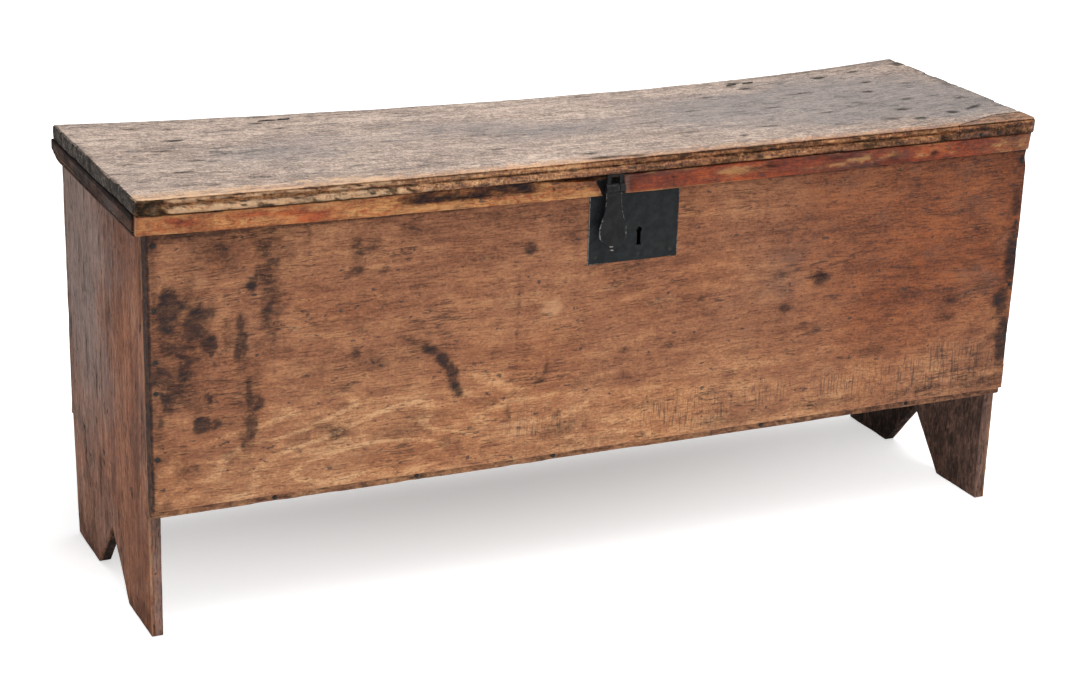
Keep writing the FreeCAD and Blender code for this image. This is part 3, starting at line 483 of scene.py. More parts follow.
def make_end(side):
    """An end board: upright grain, with its foot cut out in a V and its back toe drawn in."""
    name = "left_end_plank" if side < 0 else "right_end_plank"
    seed = 31 if side < 0 else 37
    toe = ARCH_Y + ARCH_HALF
    columns = np.concatenate([
        [0.0, 1.6], np.linspace(4.0, 88.0, 26), np.linspace(91.5, 151.0, 18),
        np.linspace(154.5, 214.0, 18), np.linspace(217.0, 309.0, 29), [311.4, 313.0],
    ])

    def outline(u, v):
        y = u * END_DEPTH
        arch = ARCH_HEIGHT * np.clip(1 - np.abs(y - ARCH_Y) / ARCH_HALF, 0, 1)
        top = lid_under(side * HALF, y) - 1.7
        z = arch + (top - arch) * v
        limit = END_DEPTH - 9.0 * np.clip(1 - z / 150.0, 0, 1)
        y = np.where(y > toe, toe + (y - toe) * (limit - toe) / (END_DEPTH - toe), y)
        edge = np.stack([0 * z + seed * 50, 0 * z, z], 1)
        rear = 1.3 * ramp(fbm(edge, 40.0, seed, 4), 0.0, 0.6)
        fore = 0.9 * ramp(fbm(edge + 900, 30.0, seed, 4), 0.05, 0.5)
        y = y - rear * ramp(u, 0.985, 1.0) + fore * ramp(-u, -0.012, 0.0)
        foot = np.stack([y, 0 * y, 0 * y + seed * 70], 1)
        z = z + (0.8 + 0.8 * fbm(foot, 25.0, seed + 2, 3)) * ramp(-v, -0.01, 0.0)
        return y, z

    def place(a, b, depth):
        return np.stack([side * (HALF - depth), a, b], 1)

    board = plank(name, columns / END_DEPTH, spread(490.0, 3.8), outline, END_THICK, place, 1.3, 0.7, seed)
    weather(board, 2, 0.6, 0.12, seed + 3)
    if side < 0:
        split(board, SPLITS)
    crease(board, 50)
    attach(board, "case")
    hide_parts("left_end_board" if side < 0 else "right_end_board")
    return board


def make_back():
    def outline(u, v):
        z = BACK_LOW + (BACK_HIGH - BACK_LOW) * v
        x = -549.4 + 1098.8 * u
        ragged = 0.8 + 0.9 * fbm(string(z, 2), 30.0, 71, 3)
        return x - np.sign(u - 0.5) * ramp(np.abs(u - 0.5), 0.488, 0.5) * ragged, z

    def place(a, b, depth):
        return np.stack([a, BACK_FACE - depth, b], 1)

    board = plank("back_plank", spread(1099.0, 4.4), spread(BACK_HIGH - BACK_LOW, 4.4), outline,
                  BACK_THICK, place, 1.1, 0.6, 41)
    weather(board, 0, 0.5, 0.2, 42)
    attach(board, "case")
    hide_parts("back_board")
    return board


def make_bottom():
    def outline(u, v):
        return BOTTOM_HALF * (2 * u - 1), END_DEPTH * v

    def place(a, b, depth):
        return np.stack([a, b, BOTTOM_TOP - depth], 1)

    def inside(p):
        return ramp(np.minimum(p[:, 1], END_DEPTH - p[:, 1]), 1.0, 10.0)

    board = plank("bottom_plank", spread(2 * BOTTOM_HALF, 5.0), spread(END_DEPTH, 5.0), outline,
                  BOTTOM_THICK, place, 0.6, 0.3, 43)
    weather(board, 0, 0.5, 0.2, 44, inside)
    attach(board, "case")
    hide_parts("bottom_board")
    return board


# --- lip and cleat ----------------------------------------------------------------------------
def lip_low(x):
    """How high the lip's lower edge is: the lip is a little deeper at the hasp than at its ends."""
    end = np.where(x < HASP_X, LID_LEFT, LID_RIGHT)
    return lid_front_under(x) - (24.5 - 3.0 * (x - HASP_X) / (end - HASP_X))


def make_lip(name, node, left, right, seed, sag, torn):
    """One length of the lip.  left and right give its ends' X at the bottom and the top, sag(x) the
    gap above it, and torn(p, rise) how much of its face is gone."""
    def outline(u, v):
        x = (left[0] + (left[1] - left[0]) * v) * (1 - u) + (right[0] + (right[1] - right[0]) * v) * u
        low = lip_low(x) + 0.5 + 0.5 * fbm(string(x), 50.0, seed, 4)
        high = lid_under(x, LIP_BACK) - 0.2 - sag(x)
        return x, low + (high - low) * v

    def place(a, b, depth):
        return np.stack([a, LIP_FRONT + depth, b], 1)

    def face_only(q):
        return ramp(-q[:, 1], 22.0, 28.0) * ramp(rise, 0.0, 0.2) * ramp(-rise, -1.0, -0.8)

    lip = plank(name, spread(right[0] - left[0], 3.2), spread(23.0, 1.9, (0.0, 1.0, 2.2)), outline,
                LIP_BACK - LIP_FRONT, place, 1.7, 0.5, seed)
    p = places(lip)
    rise = lip_rise(p)
    p[:, 1] += ramp(-p[:, 1], 26.0, 31.0) * torn(p, rise)
    set_places(lip, p)
    weather(lip, 0, 0.3, 0.14, seed + 5, face_only)
    crease(lip, 50)
    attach(lip, "lid")
    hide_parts(node)
    return lip


def lip_rise(p):
    """0 at the lip's lower edge, 1 at the lid's underside."""
    low = lip_low(p[:, 0])
    return (p[:, 2] - low) / (lid_under(p[:, 0], LIP_FRONT) - low)


def torn_left(p, rise):
    """The upper half of the left lip has split away between its middle and the hasp."""
    x = p[:, 0]
    level = 0.42 + 0.05 * fbm(string(x), 70.0, 81, 3) + 0.12 * ramp(-x, 240.0, 320.0)
    above = ramp(rise, level - 0.04, level + 0.05)
    reach = ramp(x, -330.0, -245.0) * (1 - 0.62 * ramp(x, -135.0, -85.0))
    rough = 4.4 + 1.3 * fbm(p, (30.0, 8.0, 6.0), 82, 3)
    nicks = 0.9 * ramp(fbm(p, (9.0, 9.0, 5.0), 83, 3), 0.25, 0.6)
    return above * reach * rough + nicks


def torn_right(p, rise):
    dents = 1.1 * ramp(fbm(p, (26.0, 9.0, 6.0), 86, 3), 0.22, 0.55)
    end = 2.2 * ramp(p[:, 0], 534.0, 545.0)
    return dents * ramp(rise, 0.0, 0.15) + end


def make_lips():
    left = make_lip("lip_left", "lid_lip_left", (-563.0, -562.5), (-29.6, -37.5), 45,
                    lambda x: 5.2 * ramp(x, -118.0, -34.0), torn_left)
    right = make_lip("lip_right", "lid_lip_right", (-1.4, -4.4), (542.5, 544.8), 47,
                     lambda x: 0.6 * ramp(-x, -60.0, 5.0), torn_right)
    return left, right


CLEAT_FRONT, CLEAT_BACK, CLEAT_LOW = -20.6, 304.0, 472.0


def make_cleat():
    """The cleat under the lid's left end, with two scratched lines and its back end rounded up."""
    def outline(u, v):
        y = CLEAT_FRONT + (CLEAT_BACK - CLEAT_FRONT) * u
        heel = np.clip(y - (CLEAT_BACK - 38.0), 0, None)
        floor = CLEAT_LOW + 9.0 * (heel / 38.0) ** 2 + 0.4 + 0.4 * fbm(string(y, 1), 45.0, 91, 3)
        top = lid_under(-550.6, y) - 0.1
        return y, floor + (top - floor) * v

    def place(a, b, depth):
        return np.stack([LID_LEFT + depth, a, b], 1)

    cleat = plank("cleat", spread(CLEAT_BACK - CLEAT_FRONT, 3.0), spread(20.0, 1.0, (0.0, 0.7, 1.6)),
                  outline, 14.4, place, 1.5, 0.6, 49)
    p = places(cleat)
    face = ramp(-p[:, 0], 561.5, 564.0)
    for level in (4.6, 7.4):
        p[:, 0] += face * 0.75 * bell((p[:, 2] - CLEAT_LOW - level) / 0.7)
    set_places(cleat, p)
    weather(cleat, 1, 0.35, 0.1, 50, lambda q: ramp(-q[:, 0], 555.0, 561.0))
    crease(cleat, 55)
    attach(cleat, "lid")
    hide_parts("lid_cleat")
    return cleat


# --- iron -------------------------------------------------------------------------------------
def smooth_through(x, xs, ys):
    """A smooth curve through points that never swings past them."""
    xs, ys = np.asarray(xs, float), np.asarray(ys, float)
    h = np.diff(xs)
    slope = np.diff(ys) / h
    m = np.zeros(len(xs))
    m[0], m[-1] = slope[0], slope[-1]
    for i in range(1, len(xs) - 1):
        if slope[i - 1] * slope[i] > 0:
            m[i] = 2 * slope[i - 1] * slope[i] / (slope[i - 1] + slope[i])
    i = np.clip(np.searchsorted(xs, x) - 1, 0, len(h) - 1)
    t = (x - xs[i]) / h[i]
    return ((2 * t ** 3 - 3 * t ** 2 + 1) * ys[i] + (t ** 3 - 2 * t ** 2 + t) * h[i] * m[i]
            + (3 * t ** 2 - 2 * t ** 3) * ys[i + 1] + (t ** 3 - t ** 2) * h[i] * m[i + 1])


PLATE_LOW, PLATE_HIGH = (-39.5, 383.5), (73.5, 482.0)
PLATE_FACE = -19.8
KEY_X, KEY_Z, KEY_RADIUS = 24.0, 419.0, 3.7


def make_plate():
    """The lock plate, beaten a little uneven, with its keyhole and the staple's slot."""
    width, height = PLATE_HIGH[0] - PLATE_LOW[0], PLATE_HIGH[1] - PLATE_LOW[1]

    def outline(u, v):
        x, z = PLATE_LOW[0] + width * u, PLATE_LOW[1] + height * v
        rim = np.stack([x, 0 * x, z], 1)
        return x + 0.25 * fbm(rim, 30.0, 95, 3), z + 0.25 * fbm(rim, 30.0, 96, 3)

    def place(a, b, depth):
        return np.stack([a, PLATE_FACE + depth, b], 1)

    near_rim = (0, 0.5, 1.4)
    plate = plank("lock_plate_skin", spread(width, 2.6, near_rim), spread(height, 2.6, near_rim), outline,
                  2.0, place, 0.55, 0.4, 93)
    p = places(plate)
    front = ramp(-p[:, 1], 18.2, 19.4)
    p[:, 1] += front * (0.22 * fbm(p, 26.0, 97, 3) + 0.08 * fbm(p, 7.0, 98, 2) - 0.02)
    set_places(plate, p)
    hole = [(KEY_X + KEY_RADIUS * math.cos(t), KEY_Z + KEY_RADIUS * math.sin(t))
            for t in np.linspace(-0.86, math.pi + 0.86, 19)]
    hole += [(21.6, 404.6), (20.5, 401.0), (27.5, 401.0), (26.4, 404.6)]
    cut(plate, prism("key_hole", hole, -25.0, -15.0, 1),
        box("slot_hole", (-19.2, -25.0, 419.5), (-11.8, -15.0, 446.5)))
    crease(plate, 40)
    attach(plate, "case")
    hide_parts("lock_plate")
    return plate


# The hasp's leaf: where it starts and ends below the axis, and how wide it is at each drop below it.
LEAF_HIGH, LEAF_LOW = 4.6, 74.5
HASP_DROPS = [5.0, 14.5, 28.5, 40.0, 48.5, 57.5, 62.0, 64.6, 67.5, 74.5]
HASP_WIDTHS = [19.4, 19.2, 23.0, 29.5, 33.8, 33.4, 27.0, 17.0, 11.4, 8.6]
HASP_AXIS = (-32.0, 475.5)              # the axis's Y and Z
# Two short level lines painted bright across the hasp's nib as painted highlights: their heights and half
# length.
HIGHLIGHT_BAR_LEVELS, HIGHLIGHT_BAR_HALF = (408.4, 404.6), 5.2


def make_hasp():
    """The leaf, drawn down in thickness, dished a little and curling out to its nib."""
    def outline(u, v):
        drop = LEAF_LOW - (LEAF_LOW - LEAF_HIGH) * v
        half = smooth_through(drop, HASP_DROPS, HASP_WIDTHS) / 2
        return HASP_X + half * (2 * u - 1), HASP_AXIS[1] - drop

    def place(a, b, depth):
        below = np.clip(422.5 - b, 0, None)
        flare = np.where(b > 412.0, 3.6 * (below / 10.5) ** 1.6, 3.6 + 3.0 * ((412.0 - b) / 11.0))
        half = smooth_through(HASP_AXIS[1] - b, HASP_DROPS, HASP_WIDTHS) / 2
        across = np.clip((a - HASP_X) / np.maximum(half, 1), -1, 1)
        dish = 0.55 * across ** 2 * (depth < 1.2)
        return np.stack([a, -33.2 - flare + depth + dish, b], 1)

    leaf = plank("hasp_leaf_skin", np.linspace(0, 1, 15), spread(70.0, 1.6, (0, 0.5, 1.2)), outline, 2.5,
                 place, 0.8, 0.3, 99)
    p = places(leaf)
    n = normals(leaf)
    p += n * (0.16 * fbm(p, 9.0, 101, 3))[:, None]
    drop = HASP_AXIS[1] - p[:, 2]
    for level in (66.2, 69.4):
        p[:, 1] += 0.35 * bell((drop - level) / 0.6) * (n[:, 1] < 0)
    set_places(leaf, p)
    knuckle = barrel("hasp_knuckle_skin", HASP_X - 5.2, HASP_X + 5.2, 5.0, 1.88)
    for obj, node in ((leaf, "hasp_leaf"), (knuckle, None)):
        crease(obj, 45)
        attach(obj, "hasp")
        if node:
            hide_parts(node)
    return leaf, knuckle


def barrel(name, x0, x1, outer, inner):
    """A rolled knuckle round the hasp's axis, with eased ends."""
    section = [(x0, inner), (x0, outer - 0.6), (x0 + 0.6, outer), (x0 + 3.5, outer + 0.05)]
    section += [(x0 + x1 - x, r) for x, r in reversed(section)]
    turns, m = 40, len(section)
    verts, faces = [], []
    for k in range(turns):
        angle = 2 * math.pi * k / turns
        c, s = math.cos(angle), math.sin(angle)
        verts += [(x, HASP_AXIS[0] + r * c, HASP_AXIS[1] + r * s) for x, r in section]
        here, ahead = k * m, (k + 1) % turns * m
        for i in range(m):
            j = (i + 1) % m
            faces.append((here + i, here + j, ahead + j, ahead + i))
    return new_object(name, row(verts), faces)


def nail_heads(name, node, body, heads, radius, rise, seed):
    """Wrought heads, beaten down and worn: each is a low lopsided dome sunk a little in the wood."""
    verts, faces = [], []
    points = 10
    rings = [(1.0, -0.8), (0.92, 0.25 * rise), (0.62, 0.8 * rise), (0.28, rise)]
    for k, (place, outward) in enumerate(heads):
        place, outward = Vector(place), Vector(outward).normalized()
        side = outward.orthogonal().normalized()
        other = outward.cross(side)
        start = len(verts)
        for r, (share, lift) in enumerate(rings):
            for i in range(points):
                angle = 2 * math.pi * i / points + 0.3 * k
                cell = np.array([[k * 7.3, i * 1.7, r * 0.35 + seed]])
                wobble = 1 + 0.22 * float(noise(cell, 1.3, seed)[0])
                spot = side * math.cos(angle) + other * math.sin(angle)
                tilt = 0.22 * rise * math.cos(angle + k) * share
                verts.append(place + spot * (radius * share * wobble) + outward * (lift + tilt))
        verts.append(place + outward * (rise * 1.02))
        last = start + (len(rings) - 1) * points
        for i in range(points):
            j = (i + 1) % points
            faces += [(a + i, a + j, a + points + j, a + points + i) for a in range(start, last, points)]
            faces.append((last + i, last + j, last + points))
        faces.append([start + i for i in reversed(range(points))])
    obj = new_object(name, row([tuple(v) for v in verts]), faces)
    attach(obj, body)
    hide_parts(node)
    return obj


# Where the hinges are, and where each wire's two legs come out of the lid's top.
HINGE_X = 310.0
LOOP_HALF, LOOP_Y = 5.0, 272.0


def make_loop(side):
    """The lid half of a hinge: one wire through the lid, its ends hammered flat into the top."""
    x = side * HINGE_X

    def half(sign):
        leg, y = x + sign * LOOP_HALF, LOOP_Y
        low = float(lid_under(leg, y + 14.0))
        top = float(lid_under(leg, y)) + LID_THICK
        end = float(lid_under(leg + sign * 15.0, y)) + LID_THICK
        flattened = [(leg + sign * 15.0, y - 1.0 + sign * 2.0, end + 0.1), (leg + sign * 4.0, y, top + 0.1)]
        through = [(y, top + 0.1), (y + 1.5, top - 3.0), (y + 13.0, low + 2.5), (y + 14.4, low + 0.6)]
        return flattened + [(leg, *spot) for spot in through + [(302.0, 471.6), (306.0, 470.0)]]

    points = np.array(half(-1) + half(1)[::-1])
    for _ in range(3):
        inner = [points[0]]
        for a, b in zip(points, points[1:]):
            inner += [a * 0.75 + b * 0.25, a * 0.25 + b * 0.75]
        inner.append(points[-1])
        points = np.array(inner)
    lid_top = lid_under(points[:, 0], points[:, 1]) + LID_THICK
    flat = ramp(points[:, 2], lid_top - 1.2, lid_top - 0.2)
    from_end = np.minimum(np.abs(points[:, 0] - points[0, 0]), np.abs(points[:, 0] - points[-1, 0]))
    tip = 0.45 + 0.55 * ramp(from_end, 0.0, 2.5)
    across = (1.6 + 0.5 * flat) * np.where(flat > 0.5, tip, 1.0)
    name = "hinge_loop_left_wire" if side < 0 else "hinge_loop_right_wire"
    obj = tube(name, points, 1.6 - 0.75 * flat, across)
    p = places(obj)
    set_places(obj, p + normals(obj) * (0.16 * fbm(p, 5.0, 105 + side, 2))[:, None])
    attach(obj, "lid")
    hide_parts("hinge_loop_left" if side < 0 else "hinge_loop_right")
    return obj


def tube(name, points, up, across, turns=12):
    """A bar along points; up and across are its two half sizes at each point."""
    verts, faces = [], []
    count = len(points)
    for k in range(count):
        ahead = Vector(points[min(k + 1, count - 1)] - points[max(k - 1, 0)]).normalized()
        lift = Vector((0, 0, 1)) - ahead * ahead.z
        if lift.length < 0.35:
            lift = Vector((0, -1, 0)) - ahead * -ahead.y
        lift.normalize()
        aside = ahead.cross(lift)
        for i in range(turns):
            angle = 2 * math.pi * i / turns
            spot = lift * (math.cos(angle) * up[k]) + aside * (math.sin(angle) * across[k])
            verts.append(points[k] + np.array(spot))
    for a in range(0, (count - 1) * turns, turns):
        for i in range(turns):
            j = (i + 1) % turns
            faces.append((a + i, a + j, a + turns + j, a + turns + i))
    faces.append(tuple(reversed(range(turns))))
    faces.append(tuple((count - 1) * turns + i for i in range(turns)))
    return new_object(name, row(verts), faces)


FRONT_NAILS = [(-543.0, z) for z in (219.0, 295.0, 330.0, 388.0, 459.0)]
FRONT_NAILS += [(543.0, z) for z in (228.0, 295.0, 357.0, 374.0, 453.0)]
STRIP_NAILS = [-410.0, -241.0, -71.0, 205.0, 410.0]
STRIP_NAIL_Z, BOTTOM_NAIL_Z = 153.0, 154.0
NAIL_SUNK = 0.1                         # how far a head's seat lies under the wood's face
BACK_PLACES = [(x, z) for x in (-543.0, 543.0) for z in (175.0, 265.7, 356.3, 447.0)]
LIP_NAILS = [-503.0, -365.2, -227.3, -89.5, 58.5, 200.7, 342.8, 485.0]
LIP_NAIL_RAKE = math.radians(58)
PATCH_NAILS = [494.0, 470.0]
PLATE_NAILS = [(x, z) for x in (-30.5, 64.5) for z in (392.5, 473.0)] + [(24.0, 390.5)]


def make_nails():
    forward, backward, down = (0, -1, 0), (0, 1, 0), (0, 0, -1)
    lip_out = (0, -math.cos(LIP_NAIL_RAKE), -math.sin(LIP_NAIL_RAKE))
    rear = BACK_FACE - NAIL_SUNK
    front = [((x, FRONT_FACE + NAIL_SUNK, z), forward) for x, z in FRONT_NAILS]
    back = [((x, rear, z), backward) for x, z in BACK_PLACES]
    low = [((x, STRIP_FACE + NAIL_SUNK, STRIP_NAIL_Z), forward) for x in STRIP_NAILS]
    low += [((x, rear, BOTTOM_NAIL_Z), backward) for x in (-410.0, -205.0, 0.0, 205.0, 410.0)]
    for side in (-1, 1):
        end = side * (HALF - NAIL_SUNK)
        low += [((end, y, BOTTOM_NAIL_Z), (side, 0, 0)) for y in (62.0, 176.0, 262.0)]
    lips = [((x, LIP_FRONT + 1.0, float(lid_under(x, LIP_FRONT)) - 11.0), lip_out) for x in LIP_NAILS]
    patch = []
    for x in PATCH_NAILS:
        patch.append(((x, LID_FRONT + NAIL_SUNK, float(lid_under(x, LID_FRONT)) + 4.25), forward))
    cleat = [((-557.8, y, CLEAT_LOW + 0.3), down) for y in (19.4, 141.7, 264.0)]
    plate = [((x, PLATE_FACE + 0.05, z), forward) for x, z in PLATE_NAILS]
    return [
        nail_heads("front_nail_heads", "front_nails", "case", front, 3.0, 0.7, 3),
        nail_heads("back_nail_heads", "back_nails", "case", back, 3.4, 0.9, 5),
        nail_heads("bottom_nail_heads", "bottom_nails", "case", low, 2.9, 0.8, 7),
        nail_heads("lip_nail_heads", "lip_nails", "lid", lips, 1.3, 0.3, 9),
        nail_heads("patch_nail_heads", "patch_nails", "lid", patch, 2.3, 0.5, 11),
        nail_heads("cleat_nail_heads", "cleat_nails", "lid", cleat, 2.9, 0.7, 13),
        nail_heads("plate_nail_heads", "lock_plate_nails", "case", plate, 2.7, 0.35, 15),
    ]


lid, patch = make_lid()
front = make_front()
left_end, right_end = make_end(-1), make_end(1)
back = make_back()
bottom = make_bottom()
lip_left, lip_right = make_lips()
cleat = make_cleat()
plate = make_plate()
leaf, knuckle = make_hasp()
heads = make_nails()
loops = [make_loop(-1), make_loop(1)]


# --- materials --------------------------------------------------------------------------------
def put(tree, socket, value):
    """Links a socket or sets its value; a colour may leave out its fourth number."""
    if isinstance(value, bpy.types.NodeSocket):
        tree.links.new(value, socket)
    elif isinstance(value, tuple) and len(value) == 3 and socket.type == "RGBA":
        socket.default_value = (*value, 1.0)
    else:
        socket.default_value = value


def add_node(tree, kind, inputs, **settings):
    """A node with its settings; inputs gives sockets, by name or number, their links or values."""
    node = tree.nodes.new("ShaderNode" + kind)
    for name, value in settings.items():
        setattr(node, name, value)
    for socket, value in inputs.items():
        put(tree, node.inputs[socket], value)
    return node


class Maker:
    """Builds one material's node tree; every input may be a socket or a plain value."""

    def __init__(self, name):
        self.material = bpy.data.materials.new(name)
        self.material.use_nodes = True
        self.tree = self.material.node_tree
        self.shader = self.tree.nodes["Principled BSDF"]
        self.here = self.add("TexCoord", {}, "Object")

    def put(self, socket, value):
        put(self.tree, socket, value)

    def add(self, kind, inputs, output=0, **settings):
        return add_node(self.tree, kind, inputs, **settings).outputs[output]

    def noise(self, vector, scale, detail, rough, distort=0.0, output="Fac"):
        inputs = {"Vector": vector, "Scale": scale, "Detail": detail, "Roughness": rough}
        return self.add("TexNoise", {**inputs, "Distortion": distort}, output)

    def stretch(self, vector, scale, shift):
        return self.add("Mapping", {"Vector": vector, "Scale": scale, "Location": shift})

    def wander(self, scale, amount):
        """The place, pushed about a little so that the grain isn't dead straight."""
        colour = self.noise(self.here, scale, 2.0, 0.5, output="Color")
        return self.add("VectorMath", {0: colour, 1: amount, 2: self.here}, operation="MULTIPLY_ADD")

    def math(self, operation, a, b=0.0):
        return self.add("Math", {0: a, 1: b}, operation=operation)

    def plus(self, a, b):
        return self.math("ADD", a, b)

    def minus(self, a, b):
        return self.math("SUBTRACT", a, b)

    def times(self, a, b):
        return self.math("MULTIPLY", a, b)

    def step(self, value, low, high, start=0.0, end=1.0):
        """start below low and end above high, smooth between."""
        inputs = {"Value": value, "From Min": low, "From Max": high, "To Min": start, "To Max": end}
        return self.add("MapRange", inputs, interpolation_type="SMOOTHSTEP")

    def ramp(self, value, palette):
        """The palette's colours at even steps from 0 to 1."""
        node = add_node(self.tree, "ValToRGB", {"Fac": value})
        points = node.color_ramp.elements
        while len(points) < len(palette):
            points.new(0.5)
        for k, colour in enumerate(palette):
            points[k].position = k / (len(palette) - 1)
            points[k].color = (*colour, 1.0)
        return node.outputs["Color"]

    def mix(self, factor, a, b, blend="MIX"):
        return self.add("Mix", {0: factor, 6: a, 7: b}, 2, data_type="RGBA", blend_type=blend)

    def filter(self, colour, by):
        """A colour as it looks through coloured glass."""
        return self.mix(1.0, colour, by, "MULTIPLY")

    def read(self, name):
        """A painted mask."""
        return self.add("Attribute", {}, "Fac", attribute_name=name)

    def coordinates(self):
        """The place's three numbers."""
        return add_node(self.tree, "SeparateXYZ", {0: self.here}).outputs

    def bump(self, height, distance):
        bumped = self.add("Bump", {"Strength": 1.0, "Distance": distance, "Height": height})
        self.put(self.shader.inputs["Normal"], bumped)


def along(axis, length, across):
    """Scales that draw a pattern out along one axis; both are in cells for each metre."""
    scale = [across, across, across]
    scale[axis] = length
    return tuple(scale)


def wood(name, axis, palette, stain, pale, film, seed, figure=55.0, fibre=420.0, gloss=0.52, bump=0.0006,
         pores=1.0, ticks=False, rings=0.3, run=30.0, cracks=0.5, shine=0.2,
         blend=(0.12, 0.12, 0.24, 0.30, 0.22), patchy=(45.0, 75.0), fine=(220.0, 380.0),
         contrast=(0.40, 0.60), other=None, tint=None):
    """Old oiled and waxed wood.  palette is dark to light; stain, pale and film are the colours that
    the painted masks bring in: grime together with painted shade, worn-through places and a grey
    bloom.  other is a second palette, tint a reddening that follows the figure."""
    m = Maker(name)
    shift = (seed * 1.7, seed * 0.9, seed * 2.3)

    def grain(vector, length, across, detail, rough, distort=0.0):
        """Noise in so many cells for each metre along the grain and across it."""
        return m.noise(m.stretch(vector, along(axis, length, across), shift), 1.0, detail, rough, distort)

    place = m.wander(4.5, (0.004, 0.004, 0.004) if axis == 2 else (0.004, 0.004, 0.012))
    bands = grain(place, 4.0, figure, 4.0, 0.65, 0.6)
    lines = grain(place, run, fibre, 3.0, 0.6)
    broad = grain(m.here, 6.0, 10.0, 5.0, 0.65)
    mottle = grain(m.here, *patchy, 6.0, 0.72, 0.6)
    grit = grain(m.here, *fine, 3.0, 0.7)
    value = m.times(bands, blend[0])
    for part, weight in zip((lines, broad, mottle, grit), blend[1:]):
        value = m.plus(value, m.times(part, weight))
    value = m.step(value, *contrast)
    contour = grain(place, 1.3, 7.0, 1.5, 0.5, 0.2)
    wave = m.math("SINE", m.times(contour, 150.0))
    amount = m.plus(m.times(m.read("rings"), 0.9), 0.1)
    ring = m.times(m.step(wave, 0.45, 1.0), amount)
    value = m.plus(value, m.times(ring, rings))
    value = m.plus(value, m.times(m.read("lift"), 0.4))
    reach = m.times(value, 3.0 / (len(palette) - 1))
    colour = m.ramp(reach, palette)
    ragged = grain(m.here, 60.0, 105.0, 6.0, 0.75, 0.6)
    loose = m.minus(ragged, 0.5)
    if other:
        second = m.ramp(value, other)
        share = m.step(m.plus(m.read("other"), m.times(loose, 1.2)), 0.25, 0.75)
        colour = m.mix(share, colour, second)
    warm = m.filter(colour, (0.90, 0.63, 0.43))
    colour = m.mix(m.read("warm"), colour, warm)
    if tint:
        curl = grain(m.here, 7.0, 42.0, 2.0, 0.5, 0.8)
        curl = m.step(m.math("SINE", m.times(curl, 75.0)), 0.15, 0.95)
        red = m.math("MAXIMUM", m.times(curl, 0.6), m.read("red"))
        colour = m.mix(red, colour, m.filter(colour, tint))

    grey = m.plus(m.read("film"), m.times(loose, 1.1))
    grey = m.step(grey, 0.1, 1.0)
    veil = m.mix(m.times(value, 0.55), m.filter(film, (0.60, 0.58, 0.57)),
                 m.filter(film, (1.6, 1.55, 1.5)))
    colour = m.mix(m.times(grey, 0.75), colour, veil)
    short = grain(place, 70.0, 620.0, 2.0, 0.5)
    pore = m.step(short, 0.58, 0.66)
    deep = m.filter(colour, (0.34, 0.30, 0.30))
    colour = m.mix(m.times(pore, 0.6 * pores), colour, deep)
    specks = m.step(grain(m.here, 80.0, 150.0, 2.0, 0.6), 0.67, 0.73)
    colour = m.mix(m.times(specks, 0.75), colour, stain)
    fissure = grain(place, 15.0, 180.0, 3.0, 0.55)
    thin = m.math("ABSOLUTE", m.minus(fissure, 0.5))
    where = m.step(grain(m.here, 18.0, 34.0, 3.0, 0.6), 0.54, 0.62)
    crack = m.times(m.step(thin, 0.020, 0.005), where)
    colour = m.mix(m.times(crack, cracks), colour, stain)

    if ticks:
        comb = m.noise(m.stretch(m.here, (480.0, 40.0, 34.0), shift), 1.0, 2.0, 0.6)
        mask = m.plus(m.read("ticks"), m.times(loose, 1.5))
        tick = m.times(m.step(comb, 0.51, 0.66), m.step(mask, 0.35, 1.1))
        colour = m.mix(m.times(tick, 0.66), colour, stain)
        scratch = m.step(m.noise(m.stretch(m.here, (520.0, 60.0, 90.0), shift), 1.0, 2.0, 0.5), 0.57, 0.67)
        often = m.plus(m.times(m.read("ticks"), 0.4), 0.14)
        colour = m.mix(m.times(scratch, often), colour, deep)
    light = m.plus(m.read("pale"), m.times(loose, 1.7))
    colour = m.mix(m.step(light, 0.30, 0.85), colour, m.mix(0.35, pale, colour))
    # Darkened towards the dark colour where the painted mask says so: real grime and stains, and at some
    # edges, gaps and faces painted shade.
    dirt_and_shade = m.plus(m.read("stain"), m.times(loose, 1.7))
    halo = m.times(m.step(dirt_and_shade, 0.10, 0.95), 0.62)
    core = m.times(m.step(dirt_and_shade, 0.52, 0.80), 0.72)
    core = m.plus(core, m.times(m.step(dirt_and_shade, 0.80, 1.15), 0.24))
    dark = m.math("MAXIMUM", halo, core)
    colour = m.mix(dark, colour, stain)
    m.put(m.shader.inputs["Base Color"], colour)

    rough = m.plus(m.times(lines, 0.16), m.times(mottle, 0.24))
    rough = m.plus(rough, gloss - 0.20)
    rough = m.plus(rough, m.times(dark, 0.20))
    m.put(m.shader.inputs["Roughness"], rough)
    sheen = m.minus(shine, m.times(dark, shine * 1.2))
    m.put(m.shader.inputs["Specular IOR Level"], m.math("MAXIMUM", sheen, 0.03))
    height = m.times(lines, 0.6)
    height = m.plus(height, m.times(bands, 0.5))
    height = m.minus(height, m.times(pore, 0.5))
    height = m.minus(height, m.times(crack, 1.2))
    height = m.plus(height, m.times(mottle, 1.2))
    height = m.plus(height, m.times(grit, 0.5))
    m.bump(height, bump)
    return m.material


